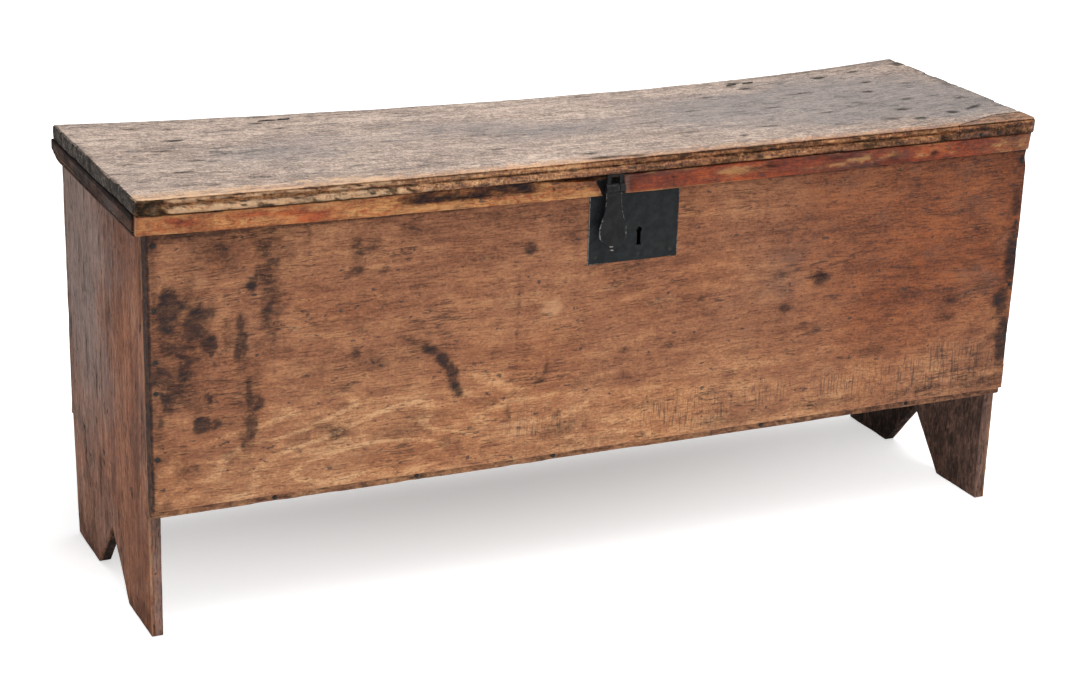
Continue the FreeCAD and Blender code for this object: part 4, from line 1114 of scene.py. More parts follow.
def iron(name, base, edge, rust, gloss, seed, rusty, highlight_bars=()):
    """Forged iron: near-black scale, rubbed a little on the high places, with traces of rust, and lighter
    where the worn mask is painted: rubbed iron, and painted edge highlights.  bars are the heights of
    level lines painted bright as highlights."""
    m = Maker(name)
    shift = (seed, seed * 2.1, seed * 0.7)
    place = m.stretch(m.here, (1.0, 1.0, 1.0), shift)
    cloud = m.noise(place, 95.0, 4.0, 0.6)
    fine = m.noise(place, 620.0, 3.0, 0.6)
    pits = m.noise(place, 330.0, 2.0, 0.5)
    colour = m.mix(m.step(cloud, 0.35, 0.68), base, edge)
    colour = m.mix(m.times(m.step(fine, 0.54, 0.70), 0.4), colour, edge)
    spot = m.times(m.step(m.noise(place, 60.0, 4.0, 0.7), 0.56, 0.72), rusty)
    colour = m.mix(spot, colour, rust)
    # The painted worn mask brings in a light grey: rubbed iron, and on the plate's edges and the leaf's rim
    # painted highlights.
    worn = m.plus(m.read("worn"), m.times(m.minus(fine, 0.5), 1.6))
    worn = m.times(m.step(worn, 0.45, 0.8), m.step(m.read("worn"), 0.05, 0.2))
    colour = m.mix(worn, colour, (0.30, 0.30, 0.29))
    # Painted highlights: two short bright lines across the hasp's nib.
    for level in highlight_bars:
        x, _, z = m.coordinates()
        away = m.math("ABSOLUTE", m.minus(z, level * MM))
        middle = m.step(m.math("ABSOLUTE", m.minus(x, HASP_X * MM)), HIGHLIGHT_BAR_HALF * MM, (HIGHLIGHT_BAR_HALF - 1.0) * MM)
        bar = m.times(m.step(away, 0.8 * MM, 0.4 * MM), middle)
        colour = m.mix(bar, colour, (0.27, 0.27, 0.26))
    m.put(m.shader.inputs["Base Color"], colour)
    m.shader.inputs["Metallic"].default_value = 0.1
    m.shader.inputs["Specular IOR Level"].default_value = 0.16
    rough = m.plus(m.times(fine, 0.2), gloss - 0.1)
    rough = m.plus(rough, m.times(spot, 0.4))
    m.put(m.shader.inputs["Roughness"], rough)
    height = m.plus(cloud, m.times(fine, 0.22))
    height = m.minus(height, m.times(m.step(pits, 0.62, 0.7), 0.35))
    m.bump(height, 0.0009)
    return m.material


def dress(material, *objects):
    for obj in objects:
        obj.data.materials.clear()
        obj.data.materials.append(material)


# --- where dirt, wear and bloom lie -----------------------------------------------------------
def blobs(a, b, marks):
    """Soft ovals on a face: a mark is its middle, its two half sizes, its amount and any lean."""
    total = np.zeros(len(a))
    for at, over, wide, tall, amount, *lean in marks:
        c, s = math.cos(math.radians(sum(lean))), math.sin(math.radians(sum(lean)))
        da, db = a - at, b - over
        d = ((da * c + db * s) / wide) ** 2 + ((-da * s + db * c) / tall) ** 2
        total = np.maximum(total, amount * np.exp(-d ** 1.3))
    return total


def near(q, level, reach):
    """1 at a level on an axis, falling to 0 at a reach from it."""
    return np.clip(1 - np.abs(q - level) / reach, 0, 1)


FRONT_STAINS = [
    (-497, 438, 10, 8, 0.55), (-468, 449, 9, 24, 0.7), (-414, 446, 20, 24, 0.62), (-436, 404, 9, 8, 0.95),
    (-414, 405, 11, 8, 0.95), (-408, 428, 8, 8, 0.75), (-418, 372, 10, 22, 0.9, -8),
    (-532, 379, 16, 36, 0.8), (-501, 367, 19, 24, 1.0), (-519, 303, 30, 30, 0.7), (-536, 319, 11, 14, 0.85),
    (-533, 287, 10, 12, 0.8), (-440, 284, 5, 32, 0.85), (-428, 269, 8, 9, 0.9), (-493, 252, 12, 11, 0.8),
    (-339, 222, 14, 10, 0.92), (-318, 312, 8, 11, 0.8), (-316, 433, 12, 26, 0.7), (-316, 408, 12, 8, 0.95),
    (-287, 404, 11, 5, 0.9), (-251, 318, 20, 6, 0.7, -25), (-230, 306, 17, 7.5, 1.05, -32),
    (-213, 291, 16, 9, 1.2, -52), (-203, 276, 18, 8, 1.2, -74), (-199, 262, 15, 7, 1.2, -82),
    (-195, 251, 8, 8, 1.1), (-110, 411, 10, 9, 1.1), (-123, 352, 4, 38, 0.5), (-87, 265, 4, 13, 0.8, -20),
    (-93, 251, 11, 4, 0.85, 8), (-133, 218, 5, 12, 0.8), (-71, 206, 8, 6, 0.75), (-342, 273, 28, 8, 0.55),
    (-256, 297, 20, 7, 0.5), (-228, 228, 37, 7, 0.45), (-204, 194, 18, 11, 0.5), (-66, 189, 46, 13, 0.55),
    (-382, 220, 13, 9, 0.5), (-462, 214, 13, 13, 0.45), (-508, 203, 17, 11, 0.45),
    (-382, 313, 17, 11, 0.45), (-462, 357, 10, 36, 0.45), (12, 275, 9, 7, 0.65), (69, 274, 8, 6, 0.6),
    (269, 334, 15, 10, 1.0, -10), (223, 301, 11, 9, 0.85), (108, 325, 14, 8, 0.45), (166, 253, 17, 8, 0.5),
    (456, 287, 19, 11, 0.72), (452, 262, 21, 8, 0.65), (384, 293, 30, 8, 0.45), (347, 233, 30, 12, 0.55),
    (531, 276, 15, 32, 1.0), (541, 330, 13, 50, 1.05), (540, 225, 14, 40, 1.15), (540, 400, 10, 24, 0.9),
    (546, 460, 7, 18, 0.7), (507, 172, 52, 14, 0.7), (420, 171, 62, 9, 0.6), (300, 172, 82, 8, 0.55),
    (150, 170, 82, 8, 0.5), (-20, 168, 90, 7, 0.45), (470, 400, 42, 6, 0.45, 3), (500, 372, 32, 8, 0.45),
    (380, 440, 62, 9, 0.4), (-160, 452, 52, 9, 0.45), (-250, 445, 28, 13, 0.5), (-540, 240, 9, 40, 0.6),
    (-500, 466, 44, 9, 0.6), (-400, 466, 50, 7, 0.6), (-300, 470, 50, 6, 0.5), (90, 430, 12, 40, 0.42),
    (-54, 430, 8, 46, 0.5), (16, 376, 52, 6, 0.5), (-543, 400, 6, 70, 0.6), (-518, 388, 14, 12, 0.85, 20),
    (-486, 348, 13, 20, 0.8, 12), (-528, 346, 14, 20, 0.85), (-480, 380, 9, 12, 0.8),
    (-507, 410, 12, 16, 0.62), (-422, 425, 15, 62, 0.56, 2), (-394, 440, 10, 40, 0.5),
    (-448, 330, 12, 60, 0.5, 4), (-432, 300, 12, 44, 0.5, -6), (-500, 280, 22, 16, 0.6),
    (-512, 325, 20, 12, 0.62), (-545, 310, 7, 60, 0.7), (-470, 250, 26, 12, 0.5, 8),
    (-360, 300, 24, 10, 0.48), (-300, 440, 14, 34, 0.5), (-330, 250, 20, 8, 0.5),
    (-290, 262, 22, 7, 0.45, 6), (-150, 290, 16, 6, 0.42), (-60, 300, 22, 7, 0.4), (130, 350, 22, 8, 0.42),
    (-518, 362, 38, 56, 0.7, 6), (-524, 302, 34, 36, 0.74), (-416, 400, 15, 76, 0.74, 3),
    (-470, 446, 34, 26, 0.64), (-440, 262, 14, 60, 0.6, -4), (-360, 226, 46, 16, 0.5, 6),
    (-300, 300, 46, 14, 0.5, -6), (-258, 214, 52, 12, 0.5, 4), (-330, 350, 40, 12, 0.42),
    (-140, 236, 50, 12, 0.42), (-30, 240, 40, 12, 0.4), (40, 205, 50, 10, 0.4), (300, 380, 30, 8, 0.45),
    (220, 345, 30, 8, 0.45), (400, 330, 26, 9, 0.5), (480, 330, 22, 10, 0.55), (500, 300, 20, 9, 0.55),
    (400, 262, 30, 6, 0.42), (250, 275, 22, 7, 0.45), (330, 300, 30, 6, 0.42),
]
FRONT_PALES = [
    (-80, 337, 17, 13, 0.85), (-120, 352, 60, 14, 0.42, 4), (60, 330, 60, 10, 0.4, 2),
    (-330, 196, 90, 24, 0.45, 3), (-150, 200, 100, 20, 0.45), (-60, 225, 90, 14, 0.4),
    (-20, 352, 40, 9, 0.45), (-380, 345, 30, 34, 0.38), (200, 240, 70, 12, 0.38), (-180, 400, 60, 24, 0.35),
    (150, 380, 50, 12, 0.3), (-470, 186, 40, 16, 0.4), (-490, 415, 14, 30, 0.4), (-445, 340, 16, 24, 0.35),
    (300, 215, 80, 12, 0.35), (-250, 250, 40, 14, 0.4, 10),
]
FRONT_TICKS = [
    (100, 190, 80, 26, 1.25), (200, 196, 50, 24, 0.95), (330, 196, 80, 28, 1.1), (450, 200, 90, 34, 1.55),
    (-90, 200, 60, 24, 1.0), (0, 250, 60, 20, 0.6),
]
FRONT_RINGS = [
    (-330, 215, 190, 60, 1.0, 4), (-120, 240, 90, 50, 0.8), (60, 330, 120, 40, 0.4),
    (-380, 340, 60, 60, 0.4),
]


def paint_front(obj):
    p = places(obj)
    x, y, z = p.T
    cloud = fbm(p, 90.0, 201, 4)
    stain = most(
        blobs(x, z, FRONT_STAINS),
        0.6 * ramp(cloud, 0.1, 0.6) * ramp(-x, 380.0, 520.0),
        0.56 * ramp(x, 420.0, 540.0) * (0.7 + 0.5 * fbm(p, 50.0, 209, 3)),
    )
    gritty = np.maximum(0, fbm(p, (16.0, 16.0, 26.0), 210, 4))
    stain = most(
        stain + 1.1 * gritty * (stain > 0.3) * ramp(-x, 380.0, 470.0),
        1.3 * near(x, -549.5, 5.0),
        0.6 * near(x, 549.0, 12.0),
        0.55 * near(z, 463.0, 22.0) * ramp(fbm(p, 40.0, 202, 3), -0.3, 0.5),
        *[0.95 * dot((x - at) / 6.5, (z - level) / 7.5) for at, level in FRONT_NAILS],
        *[0.95 * dot((x - at) / 6.0, (z - STRIP_NAIL_Z) / 5.0) for at in STRIP_NAILS],
    )
    strip = ramp(-z, -160.5, -157.5)
    drips = ramp(fbm(np.stack([x, 0 * x, z * 0.12], 1), 24.0, 207, 3), 0.12, 0.5)
    stain = most(
        stain * (1 - 0.5 * strip),
        strip * (0.10 + 0.55 * ramp(y, -14.5, -13.2)),
        # Painted shadow: a dark line in the step where the front board's lower edge meets the strip.
        0.75 * near(z, 158.2, 1.8) * ramp(y, -18.0, -16.5),
        0.8 * drips * ramp(z, 425.0, 468.0) * ramp(-x, 180.0, 260.0),
        # Painted shadow: a dark band along the top of the front board, under the lip.
        0.8 * ramp(z, 459.0, 466.0),
        0.45 * ramp(y, -17.0, -14.0) * (1 - strip),
    )
    pale = most(
        blobs(x, z, FRONT_PALES) * (1 - stain),
        0.6 * near(z, 158.6, 2.4) * ramp(fbm(p, 70.0, 203, 3), -0.2, 0.4),
    )
    # Painted light: low and lowest make the lower part of the front lighter, standing in for light bounced
    # up from the floor.
    low = ramp(-z, -310.0, -190.0) * (0.5 + 0.5 * ramp(-x, -300.0, 50.0))
    low = low * (1 - 0.4 * ramp(-x, 280.0, 420.0))
    lowest = ramp(-z, -230.0, -180.0) * ramp(-x, -380.0, -300.0)
    high_right = ramp(x, 120.0, 330.0) * ramp(z, 230.0, 320.0)
    streaks = fbm(p, (200.0, 60.0, 60.0), 208, 3)
    low_right = ramp(x, 60.0, 330.0) * ramp(-z, -262.0, -215.0)
    right = ramp(x, 60.0, 260.0) * ramp(z, 200.0, 300.0)
    paint(
        obj, stain=stain, pale=pale, rings=blobs(x, z, FRONT_RINGS),
        lift=0.85 * low + 0.40 * lowest - 0.30 * high_right + 0.4 * streaks,
        ticks=most(0.7 * low_right * ramp(fbm(p, 120.0, 204, 3), -0.6, 0.2), blobs(x, z, FRONT_TICKS)),
        film=most(0.35 * ramp(fbm(p, 140.0, 205, 3), -0.1, 0.7) + 0.30 * ramp(-x, 300.0, 520.0),
                  right * (0.35 + 0.5 * ramp(fbm(p, (70.0, 50.0, 50.0), 206, 4), 0.0, 0.6))),
        warm=0.9 * ramp(x, 120.0, 420.0) * ramp(z, 190.0, 330.0) + 0.25 * ramp(cloud, -0.2, 0.5),
    )


LID_MARKS = [
    (-314, 272, 17, 5, 1.0), (-324, 291, 14, 5, 0.9), (-315, 230, 16, 5, 1.0), (-334, 260, 12, 5, 0.75),
    (307, 278, 18, 6, 1.0), (303, 245, 14, 6, 1.0), (290, 262, 12, 5, 0.8), (-485, 262, 15, 5, 0.95),
    (-443, 254, 14, 5, 0.9), (-454, 200, 18, 5, 1.05, 2), (-479, 157, 15, 4.5, 1.1),
    (-482, 64, 18, 4.5, 1.15, 2), (-455, 111, 16, 4.5, 0.8), (-490, 14, 14, 4, 0.9), (-467, 7, 9, 4, 0.9),
    (-409, 23, 24, 5, 0.7), (-351, 51, 12, 8, 0.5), (-20, -18, 30, 7, 1.05), (14, -22, 20, 6, 0.9),
    (-31, 4, 16, 6, 0.85), (416, 255, 12, 6, 1.1, 8), (471, 264, 12, 6, 0.95, 10), (542, 269, 10, 10, 1.0),
    (431, 163, 10, 6, 1.1), (456, 207, 10, 6, 0.95), (457, 110, 10, 6, 1.0), (470, 31, 10, 7, 1.15),
    (508, 44, 22, 4.5, 1.0, 24), (424, 66, 13, 6, 0.95), (416, 19, 12, 6, 0.9), (383, 30, 14, 7, 0.9),
    (177, 20, 7, 6, 0.9), (230, 52, 22, 4, 0.9), (282, 138, 18, 4.5, 0.9), (40, 210, 30, 4, 0.7),
    (100, 120, 34, 4, 0.7), (-200, 200, 30, 4, 0.65), (-120, 60, 22, 4, 0.8), (180, 160, 30, 4, 0.7),
    (330, 90, 18, 5, 0.9), (-250, 280, 60, 6, 0.5), (60, 285, 90, 6, 0.5), (400, 290, 70, 7, 0.6),
    (-80, 120, 30, 4, 0.65), (20, 40, 24, 4, 0.7), (120, 60, 20, 4, 0.7), (350, 190, 22, 5, 0.8),
    (240, 220, 26, 4.5, 0.7), (500, 180, 12, 6, 0.8), (390, 120, 12, 5, 0.8), (310, 30, 14, 5, 0.7),
    (-260, 90, 16, 4, 0.65), (-380, 180, 20, 4, 0.65), (-520, 220, 16, 4.5, 0.8),
    (-530, 110, 16, 4.5, 0.85), (520, 90, 14, 6, 0.8),
]
LID_GREYS = [
    (-360, 120, 90, 50, 0.75), (-60, 150, 170, 60, 0.8), (250, 150, 150, 90, 1.1),
    (400, 130, 150, 120, 1.5), (480, 80, 90, 120, 1.6), (-300, 160, 80, 40, 0.5),
]


def seam_gap(x, y):
    """How far a place on the lid is from the line where the corner patch is let in."""
    gaps = []
    line = [(PATCH_TIP, -30.0), (508.0, 0.5), (560.0, 0.5)]
    for (x0, y0), (x1, y1) in zip(line, line[1:]):
        dx, dy = x1 - x0, y1 - y0
        t = np.clip(((x - x0) * dx + (y - y0) * dy) / (dx * dx + dy * dy), 0, 1)
        gaps.append(np.hypot(x - x0 - t * dx, y - y0 - t * dy))
    return np.minimum(*gaps)


def paint_lid(obj, is_patch=False):
    p = places(obj)
    x, y, z = p.T
    rise = z - lid_under(x, y)
    wave = fbm(string(x), 60.0, 211, 4)
    edge_wave = fbm(string(y, 1), 30.0, 218, 4)
    spots = fbm(p, (12.0, 6.0, 4.0), 212, 3)
    crumbs = fbm(p, (8.0, 5.0, 3.0), 227, 3)

    top = ramp(rise, 12.0, 16.0)
    nose = ramp(-y, 24.0, 28.0)
    face = ramp(-y, 28.5, 30.5)
    flat = top * (1 - nose)
    under = ramp(-rise, -2.5, -0.8) * (1 - nose)
    left = ramp(-x, 180.0, 300.0)
    rightward = ramp(x, -200.0, 100.0)
    broken = ramp(-x, 526.0, 536.0) * ramp(-y, 22.0, 27.0)
    arris = bell((y + 28.0 + 1.5 * wave) / 4.0) * ramp(rise, 12.0, 15.0)
    bead = face * ramp(-rise, -8.4, -7.0)
    groove = bell((rise - 9.6) / 1.5) * face
    wide = bell((rise - 9.4) / 3.4) * face * ramp(-x, 330.0, 360.0)
    second = bell((rise - 13.0) / 0.8) * face * ramp(x, -250.0, -100.0)
    nicks = ramp(fbm(p, (13.0, 9.0, 4.0), 213, 3), 0.30, 0.5) * face * (1 - is_patch)
    scuffs = face * ramp(x, -362.0, -352.0) * ramp(-x, 328.0, 338.0)
    ends = most(ramp(-x, 548.0, 563.0), 0.9 * ramp(x, 526.0, 548.0))
    facing = normals(obj)[:, 0]
    end_grain = most(ramp(-facing, 0.30, 0.62), 0.9 * ramp(facing, 0.30, 0.62)) * (np.abs(x) > 535.0)
    rim = bell((x + 559.0) / 3.0) * ramp(rise, 15.8, 16.8) * ramp(edge_wave, -0.25, 0.15) * (1 - end_grain)
    golden = (0.46 + 0.20 * left) * top * ramp(-y, -30.0, 24.0)

    stain = most(
        blobs(x, y, LID_MARKS) * top,
        groove * (0.95 + 0.4 * wave),
        0.62 * wide,
        # Painted shadow: a dark line along the moulding's lower edge, just above the lip.
        0.9 * bead * ramp(-rise, -2.2, -0.6),
        0.66 * most(face, 0.6 * nose) * rightward * (0.8 + 0.7 * fbm(p, (26.0, 8.0, 6.0), 226, 3)),
        0.95 * face * left * ramp(-crumbs, 0.16, 0.36),
        0.75 * second * ramp(wave, -0.5, 0.1),
        0.85 * nicks,
        broken * ramp(-rise, -16.8, -14.6) * (1.05 + 0.5 * fbm(p, 9.0, 217, 3)),
        # Painted shadow: black under the broken left end of the moulding, where the bead is gone.
        1.3 * ramp(-x, 532.0, 538.0) * face * ramp(-rise, -3.4, -2.0),
        1.2 * bell((x - NOTCH_X) / 11.0) * face * ramp(-rise, -13.5, -11.0),
        0.45 * ends * (0.8 + 0.8 * edge_wave),
        0.55 * ramp(y, 286.0, 297.0) * top,
        1.35 * end_grain * (1 - 0.5 * nose * is_patch),
        1.1 * bell(seam_gap(x, y) / 1.5) * top,
        0.42 * under * (0.7 + 0.9 * fbm(p, (90.0, 40.0, 40.0), 220, 4)),
        *[1.1 * dot((x - at) / 3.4, (rise - 4.2) / 3.4) * nose for at in PATCH_NAILS],
    )
    pale = most(
        arris * (0.28 + 0.76 * left + 0.5 * wave),
        bead * (-0.15 + 0.85 * left + 0.8 * spots),
        face * left * (0.42 + 1.2 * crumbs),
        scuffs * ramp(spots, -0.5, 0.2),
        0.9 * rim * ramp(-y, -80.0, -20.0),
        golden * (0.9 + 0.6 * fbm(p, (60.0, 25.0, 25.0), 216, 3)) * (1 - 0.9 * ramp(x, 100.0, 380.0)),
    )
    film = flat * (0.15 + 0.45 * fbm(p, (150.0, 60.0, 60.0), 214, 4) + 0.75 * blobs(x, y, LID_GREYS))
    film = film * (1 - 0.9 * ramp(-y, -30.0, 15.0))
    other = most(nose, 0.55 * ramp(-y, -12.0, 24.0), 0.42 * under)
    if is_patch:
        stain = most(stain, 0.6 * face * ramp(-rise, -2.5, -0.5), 0.45 * top)
        pale = most(pale, 0.30 * arris)
        film = film * 0.2
        other = most(other, 1.0)
    shade = flat * (0.42 * ramp(x, 300.0, 430.0) + 0.16 * ramp(-x, 250.0, 400.0))
    shade = shade + face * (0.12 + 0.06 * rightward) + 0.35 * is_patch
    paint(
        obj, stain=stain, pale=pale, other=other, warm=0.45 * nose * rightward,
        lift=0.12 + 0.45 * flat * fbm(p, (160.0, 22.0, 22.0), 219, 4) - shade,
        film=most(film, 0.3 * under, 0.9 * wide * ramp(spots, -0.5, 0.3), 0.6 * nicks * (1 - left),
                  0.40 * left * face * ramp(spots, -0.4, 0.3)),
    )


END_MARKS = [
    (62, 148, 5, 6, 0.9), (177, 141, 5, 6, 0.9), (262, 154, 5, 6, 0.9), (197, 226, 3, 26, 0.9, 4),
    (176, 154, 5, 5, 0.8), (120, 97, 2.5, 26, 0.8, 2), (236, 351, 2.5, 24, 0.8, 2), (40, 60, 12, 30, 0.4),
    (100, 300, 10, 30, 0.35), (250, 90, 16, 30, 0.4), (20, 20, 30, 16, 0.6), (292, 20, 20, 18, 0.6),
]


def paint_end(obj, side):
    p = places(obj)
    x, y, z = p.T
    cloud = fbm(p, 80.0, 221 + side, 4)
    streak = fbm(p, (8.0, 8.0, 130.0), 225 + side, 4)
    rear = ramp(y, 60.0, 260.0)
    outer = ramp(np.abs(x), 545.0, 549.0)
    inner = 1 - outer
    front_edge = ramp(-y, -3.0, -0.5)
    stain = most(
        0.55 * ramp(cloud, 0.15, 0.6),
        0.75 * near(z, 486.0, 34.0) * ramp(fbm(p, 30.0, 223, 3), -0.4, 0.4),
        0.6 * near(z, 0.0, 30.0),
        0.8 * near(y, END_DEPTH, 8.0),
        0.75 * ramp(streak, 0.22, 0.55),
        blobs(y, z, END_MARKS) * outer,
        (0.52 + 0.14 * side) * front_edge,
        # Painted shade: the feet's inner faces under the chest are darkened, and the rear foot's inner face
        # is painted near black as shadow; the grey film on the inner faces greys this shade.
        0.70 * inner * (1 - front_edge) * ramp(-z, -200.0, -140.0),
        1.3 * inner * ramp(y, 130.0, 170.0) * ramp(-z, -150.0, -120.0),
    )
    worn = 0.75 * near(y, 0.0, 4.0) * outer + 0.45 * ramp(fbm(p, (14.0, 14.0, 90.0), 224, 3), 0.2, 0.6)
    film = 0.26 + 0.85 * rear * ramp(z, 120.0, 360.0) + 0.4 * cloud
    paint(
        obj, stain=stain, pale=most(worn, 0.2 * front_edge * (side < 0)),
        film=most(film * outer, 0.62 * inner), warm=0.5 * (1 - rear) * outer + 0.35 * front_edge,
    )


def paint_inner(obj):
    p = places(obj)
    x, y, z = p.T
    cloud = fbm(p, (140.0, 60.0, 60.0), 231, 4)
    outside = ramp(y, 317.0, 321.0)
    stain = most(
        0.5 * ramp(cloud, 0.1, 0.6),
        0.3 * near(z, BACK_LOW, 30.0),
        *[outside * dot((x - at) / 7, (z - level) / 9) for at, level in BACK_PLACES],
        *[0.8 * outside * dot((x - at) / 24, (z - 448.0) / 14) for at in (-HINGE_X, HINGE_X)],
    )
    paint(
        obj, stain=stain, pale=0.3 * ramp(-cloud, 0.2, 0.6), lift=0.9 * fbm(p, (260.0, 20.0, 26.0), 232, 4),
        rings=0.8 * ramp(fbm(p, (240.0, 80.0, 80.0), 233, 2), -0.2, 0.4),
        warm=0.5 * ramp(cloud, -0.3, 0.4), film=outside * (0.40 + 0.5 * cloud) + 0.15,
    )


LIP_REDS_LEFT = [
    (-515, 486, 26, 5, 0.8, -8), (-440, 487, 34, 4, 0.8), (-395, 484, 26, 4, 0.7),
    (-372, 479, 22, 8, 0.9, 6), (-470, 474, 50, 2.5, 0.6, -3), (-540, 478, 8, 8, 0.4),
]
LIP_PALES_RIGHT = [
    (135, 480, 30, 6, 0.9, 4), (170, 482, 16, 5, 0.5), (300, 478, 44, 8, 0.9, 4), (345, 482, 22, 6, 0.7),
    (395, 480, 16, 6, 0.8, 4), (425, 480, 14, 5, 0.8), (500, 478, 30, 10, 0.75, 5), (530, 479, 14, 12, 0.7),
    (240, 474, 20, 3, 0.5),
]


LIP_STAINS_LEFT = [(-514, 487, 2.2, 2.2, 1), (-466, 487, 2.2, 2.2, 1)]
LIP_STAINS_RIGHT = [
    (405, 478, 7, 4, 1.0), (350, 478, 14, 5, 0.6), (180, 482, 24, 3, 0.8), (5, 478, 9, 12, 0.75),
    (60, 478, 30, 4, 0.4), (270, 484, 22, 2.5, 0.7),
]


def paint_lip(obj, right):
    p = places(obj)
    x, y, z = p.T
    rise = lip_rise(p)
    wave = fbm(string(x), 50.0, 241, 3)
    stain = most(
        # Painted shadow: a dark band along the top of the lip, under the lid's moulding, with mottled dirt
        # added.
        0.6 * ramp(rise, 0.90, 0.98) + 0.35 * ramp(fbm(p, (30.0, 12.0, 6.0), 242, 3), 0.15, 0.5),
        0.6 * ramp(y, -27.0, -22.0),
    )
    if right:
        pale = most(
            blobs(x, z, LIP_PALES_RIGHT) * (0.55 + 1.3 * fbm(p, (12.0, 8.0, 4.0), 244, 4)),
            0.75 * ramp(-rise, -0.13, -0.04) * ramp(-x, -175.0, -120.0),
            0.5 * ramp(rise, 0.80, 0.9) * ramp(wave, -0.2, 0.4),
        )
        red = 1 - 0.75 * np.clip(pale * 1.4, 0, 1) - 0.5 * ramp(x, 486.0, 505.0)
        stain = most(stain, blobs(x, z, LIP_STAINS_RIGHT))
        film = 0.7 * ramp(-x, -14.0, 2.0)
    else:
        torn = ramp(rise, 0.38, 0.46) * ramp(x, -300.0, -240.0) * (1 - 0.85 * ramp(x, -130.0, -90.0))
        pale = 0.10 + 0.5 * wave + 0.35 * ramp(-rise, -0.36, -0.24) * ramp(x, -320.0, -240.0)
        pale = (pale + 0.4 * fbm(p, (30.0, 8.0, 5.0), 245, 3)) * (1 - torn)
        red = blobs(x, z, LIP_REDS_LEFT) + 0.3 * ramp(wave, 0.2, 0.6)
        stain = most(
            stain,
            # The split-away wood is dark as broken wood, and also as painted shade under the lid's
            # moulding.
            torn * (0.72 + 0.5 * ramp(fbm(p, (50.0, 12.0, 12.0), 243, 3), -0.4, 0.3)),
            # Painted shadow: a darker band along the top of the left lip by its torn part.
            0.9 * ramp(rise, 0.86, 0.95) * ramp(x, -260.0, -200.0),
            0.8 * blobs(x, z, LIP_STAINS_LEFT),
        )
        film = np.zeros(len(p))
    paint(obj, stain=stain, pale=pale * ramp(-y, 24.0, 28.0), film=film, red=red)


def paint_cleat(obj):
    p = places(obj)
    x, y, z = p.T
    above = z - CLEAT_LOW
    face = ramp(-x, 561.0, 564.0)
    line = 0.8 * bell((above - 6.0) / 0.7) + 0.6 * bell((above - 1.8) / 0.8)
    pale = face * line * ramp(fbm(p, (20.0, 50.0, 20.0), 253, 3), -0.5, 0.1)
    stain = most(
        0.42 + 0.6 * fbm(p, (20.0, 60.0, 20.0), 251, 4),
        0.95 * ramp(above, 15.0, 19.0),
        0.9 * face * bell((above - 4.4) / 0.7),
    )
    paint(
        obj, stain=stain * (1 - 0.7 * pale), pale=pale, film=0.2 + 0.4 * fbm(p, 60.0, 252, 3),
        warm=0.4 + 0.4 * ramp(-y, -120.0, 0.0),
    )


def paint_iron(plate, leaf, knuckle):
    p = places(plate)
    x, _, z = p.T
    past = most(PLATE_LOW[0] - x, x - PLATE_HIGH[0], PLATE_LOW[1] - z, z - PLATE_HIGH[1])
    corners = [(*spot, 4.5, 4.5, 0.72) for spot in PLATE_NAILS[:4]] + [(*PLATE_NAILS[4], 4, 4, 0.6)]
    # Painted highlight as well as wear: a light rim along the plate's edges, brightest on its left edge,
    # and light spots at its nails.
    paint(plate, worn=most(
        0.62 * ramp(past, -1.6, -0.4) * ramp(fbm(p, 16.0, 261, 3), -0.5, 0.2),
        0.75 * ramp(past, -1.8, -0.4) * ramp(-x, 37.0, 39.0),
        0.5 * blobs(x, z, corners),
    ))
    p = places(leaf)
    x, _, z = p.T
    drop = HASP_AXIS[1] - z
    rim = ramp(np.abs(x - HASP_X) / (smooth_through(drop, HASP_DROPS, HASP_WIDTHS) / 2), 0.86, 0.98)
    # Painted highlight: a light broken rim round the leaf's wide lower part; there is also a light band
    # just below the knuckle.
    paint(leaf, worn=most(
        0.62 * rim * ramp(fbm(p, 9.0, 262, 3), -0.7, 0.0) * ramp(z, 411.0, 415.0),
        0.35 * bell((drop - 8.0) / 2.0),
    ))
    paint(knuckle, worn=0.40 * ramp(fbm(places(knuckle), 2.2, 263, 2), 0.0, 0.5))


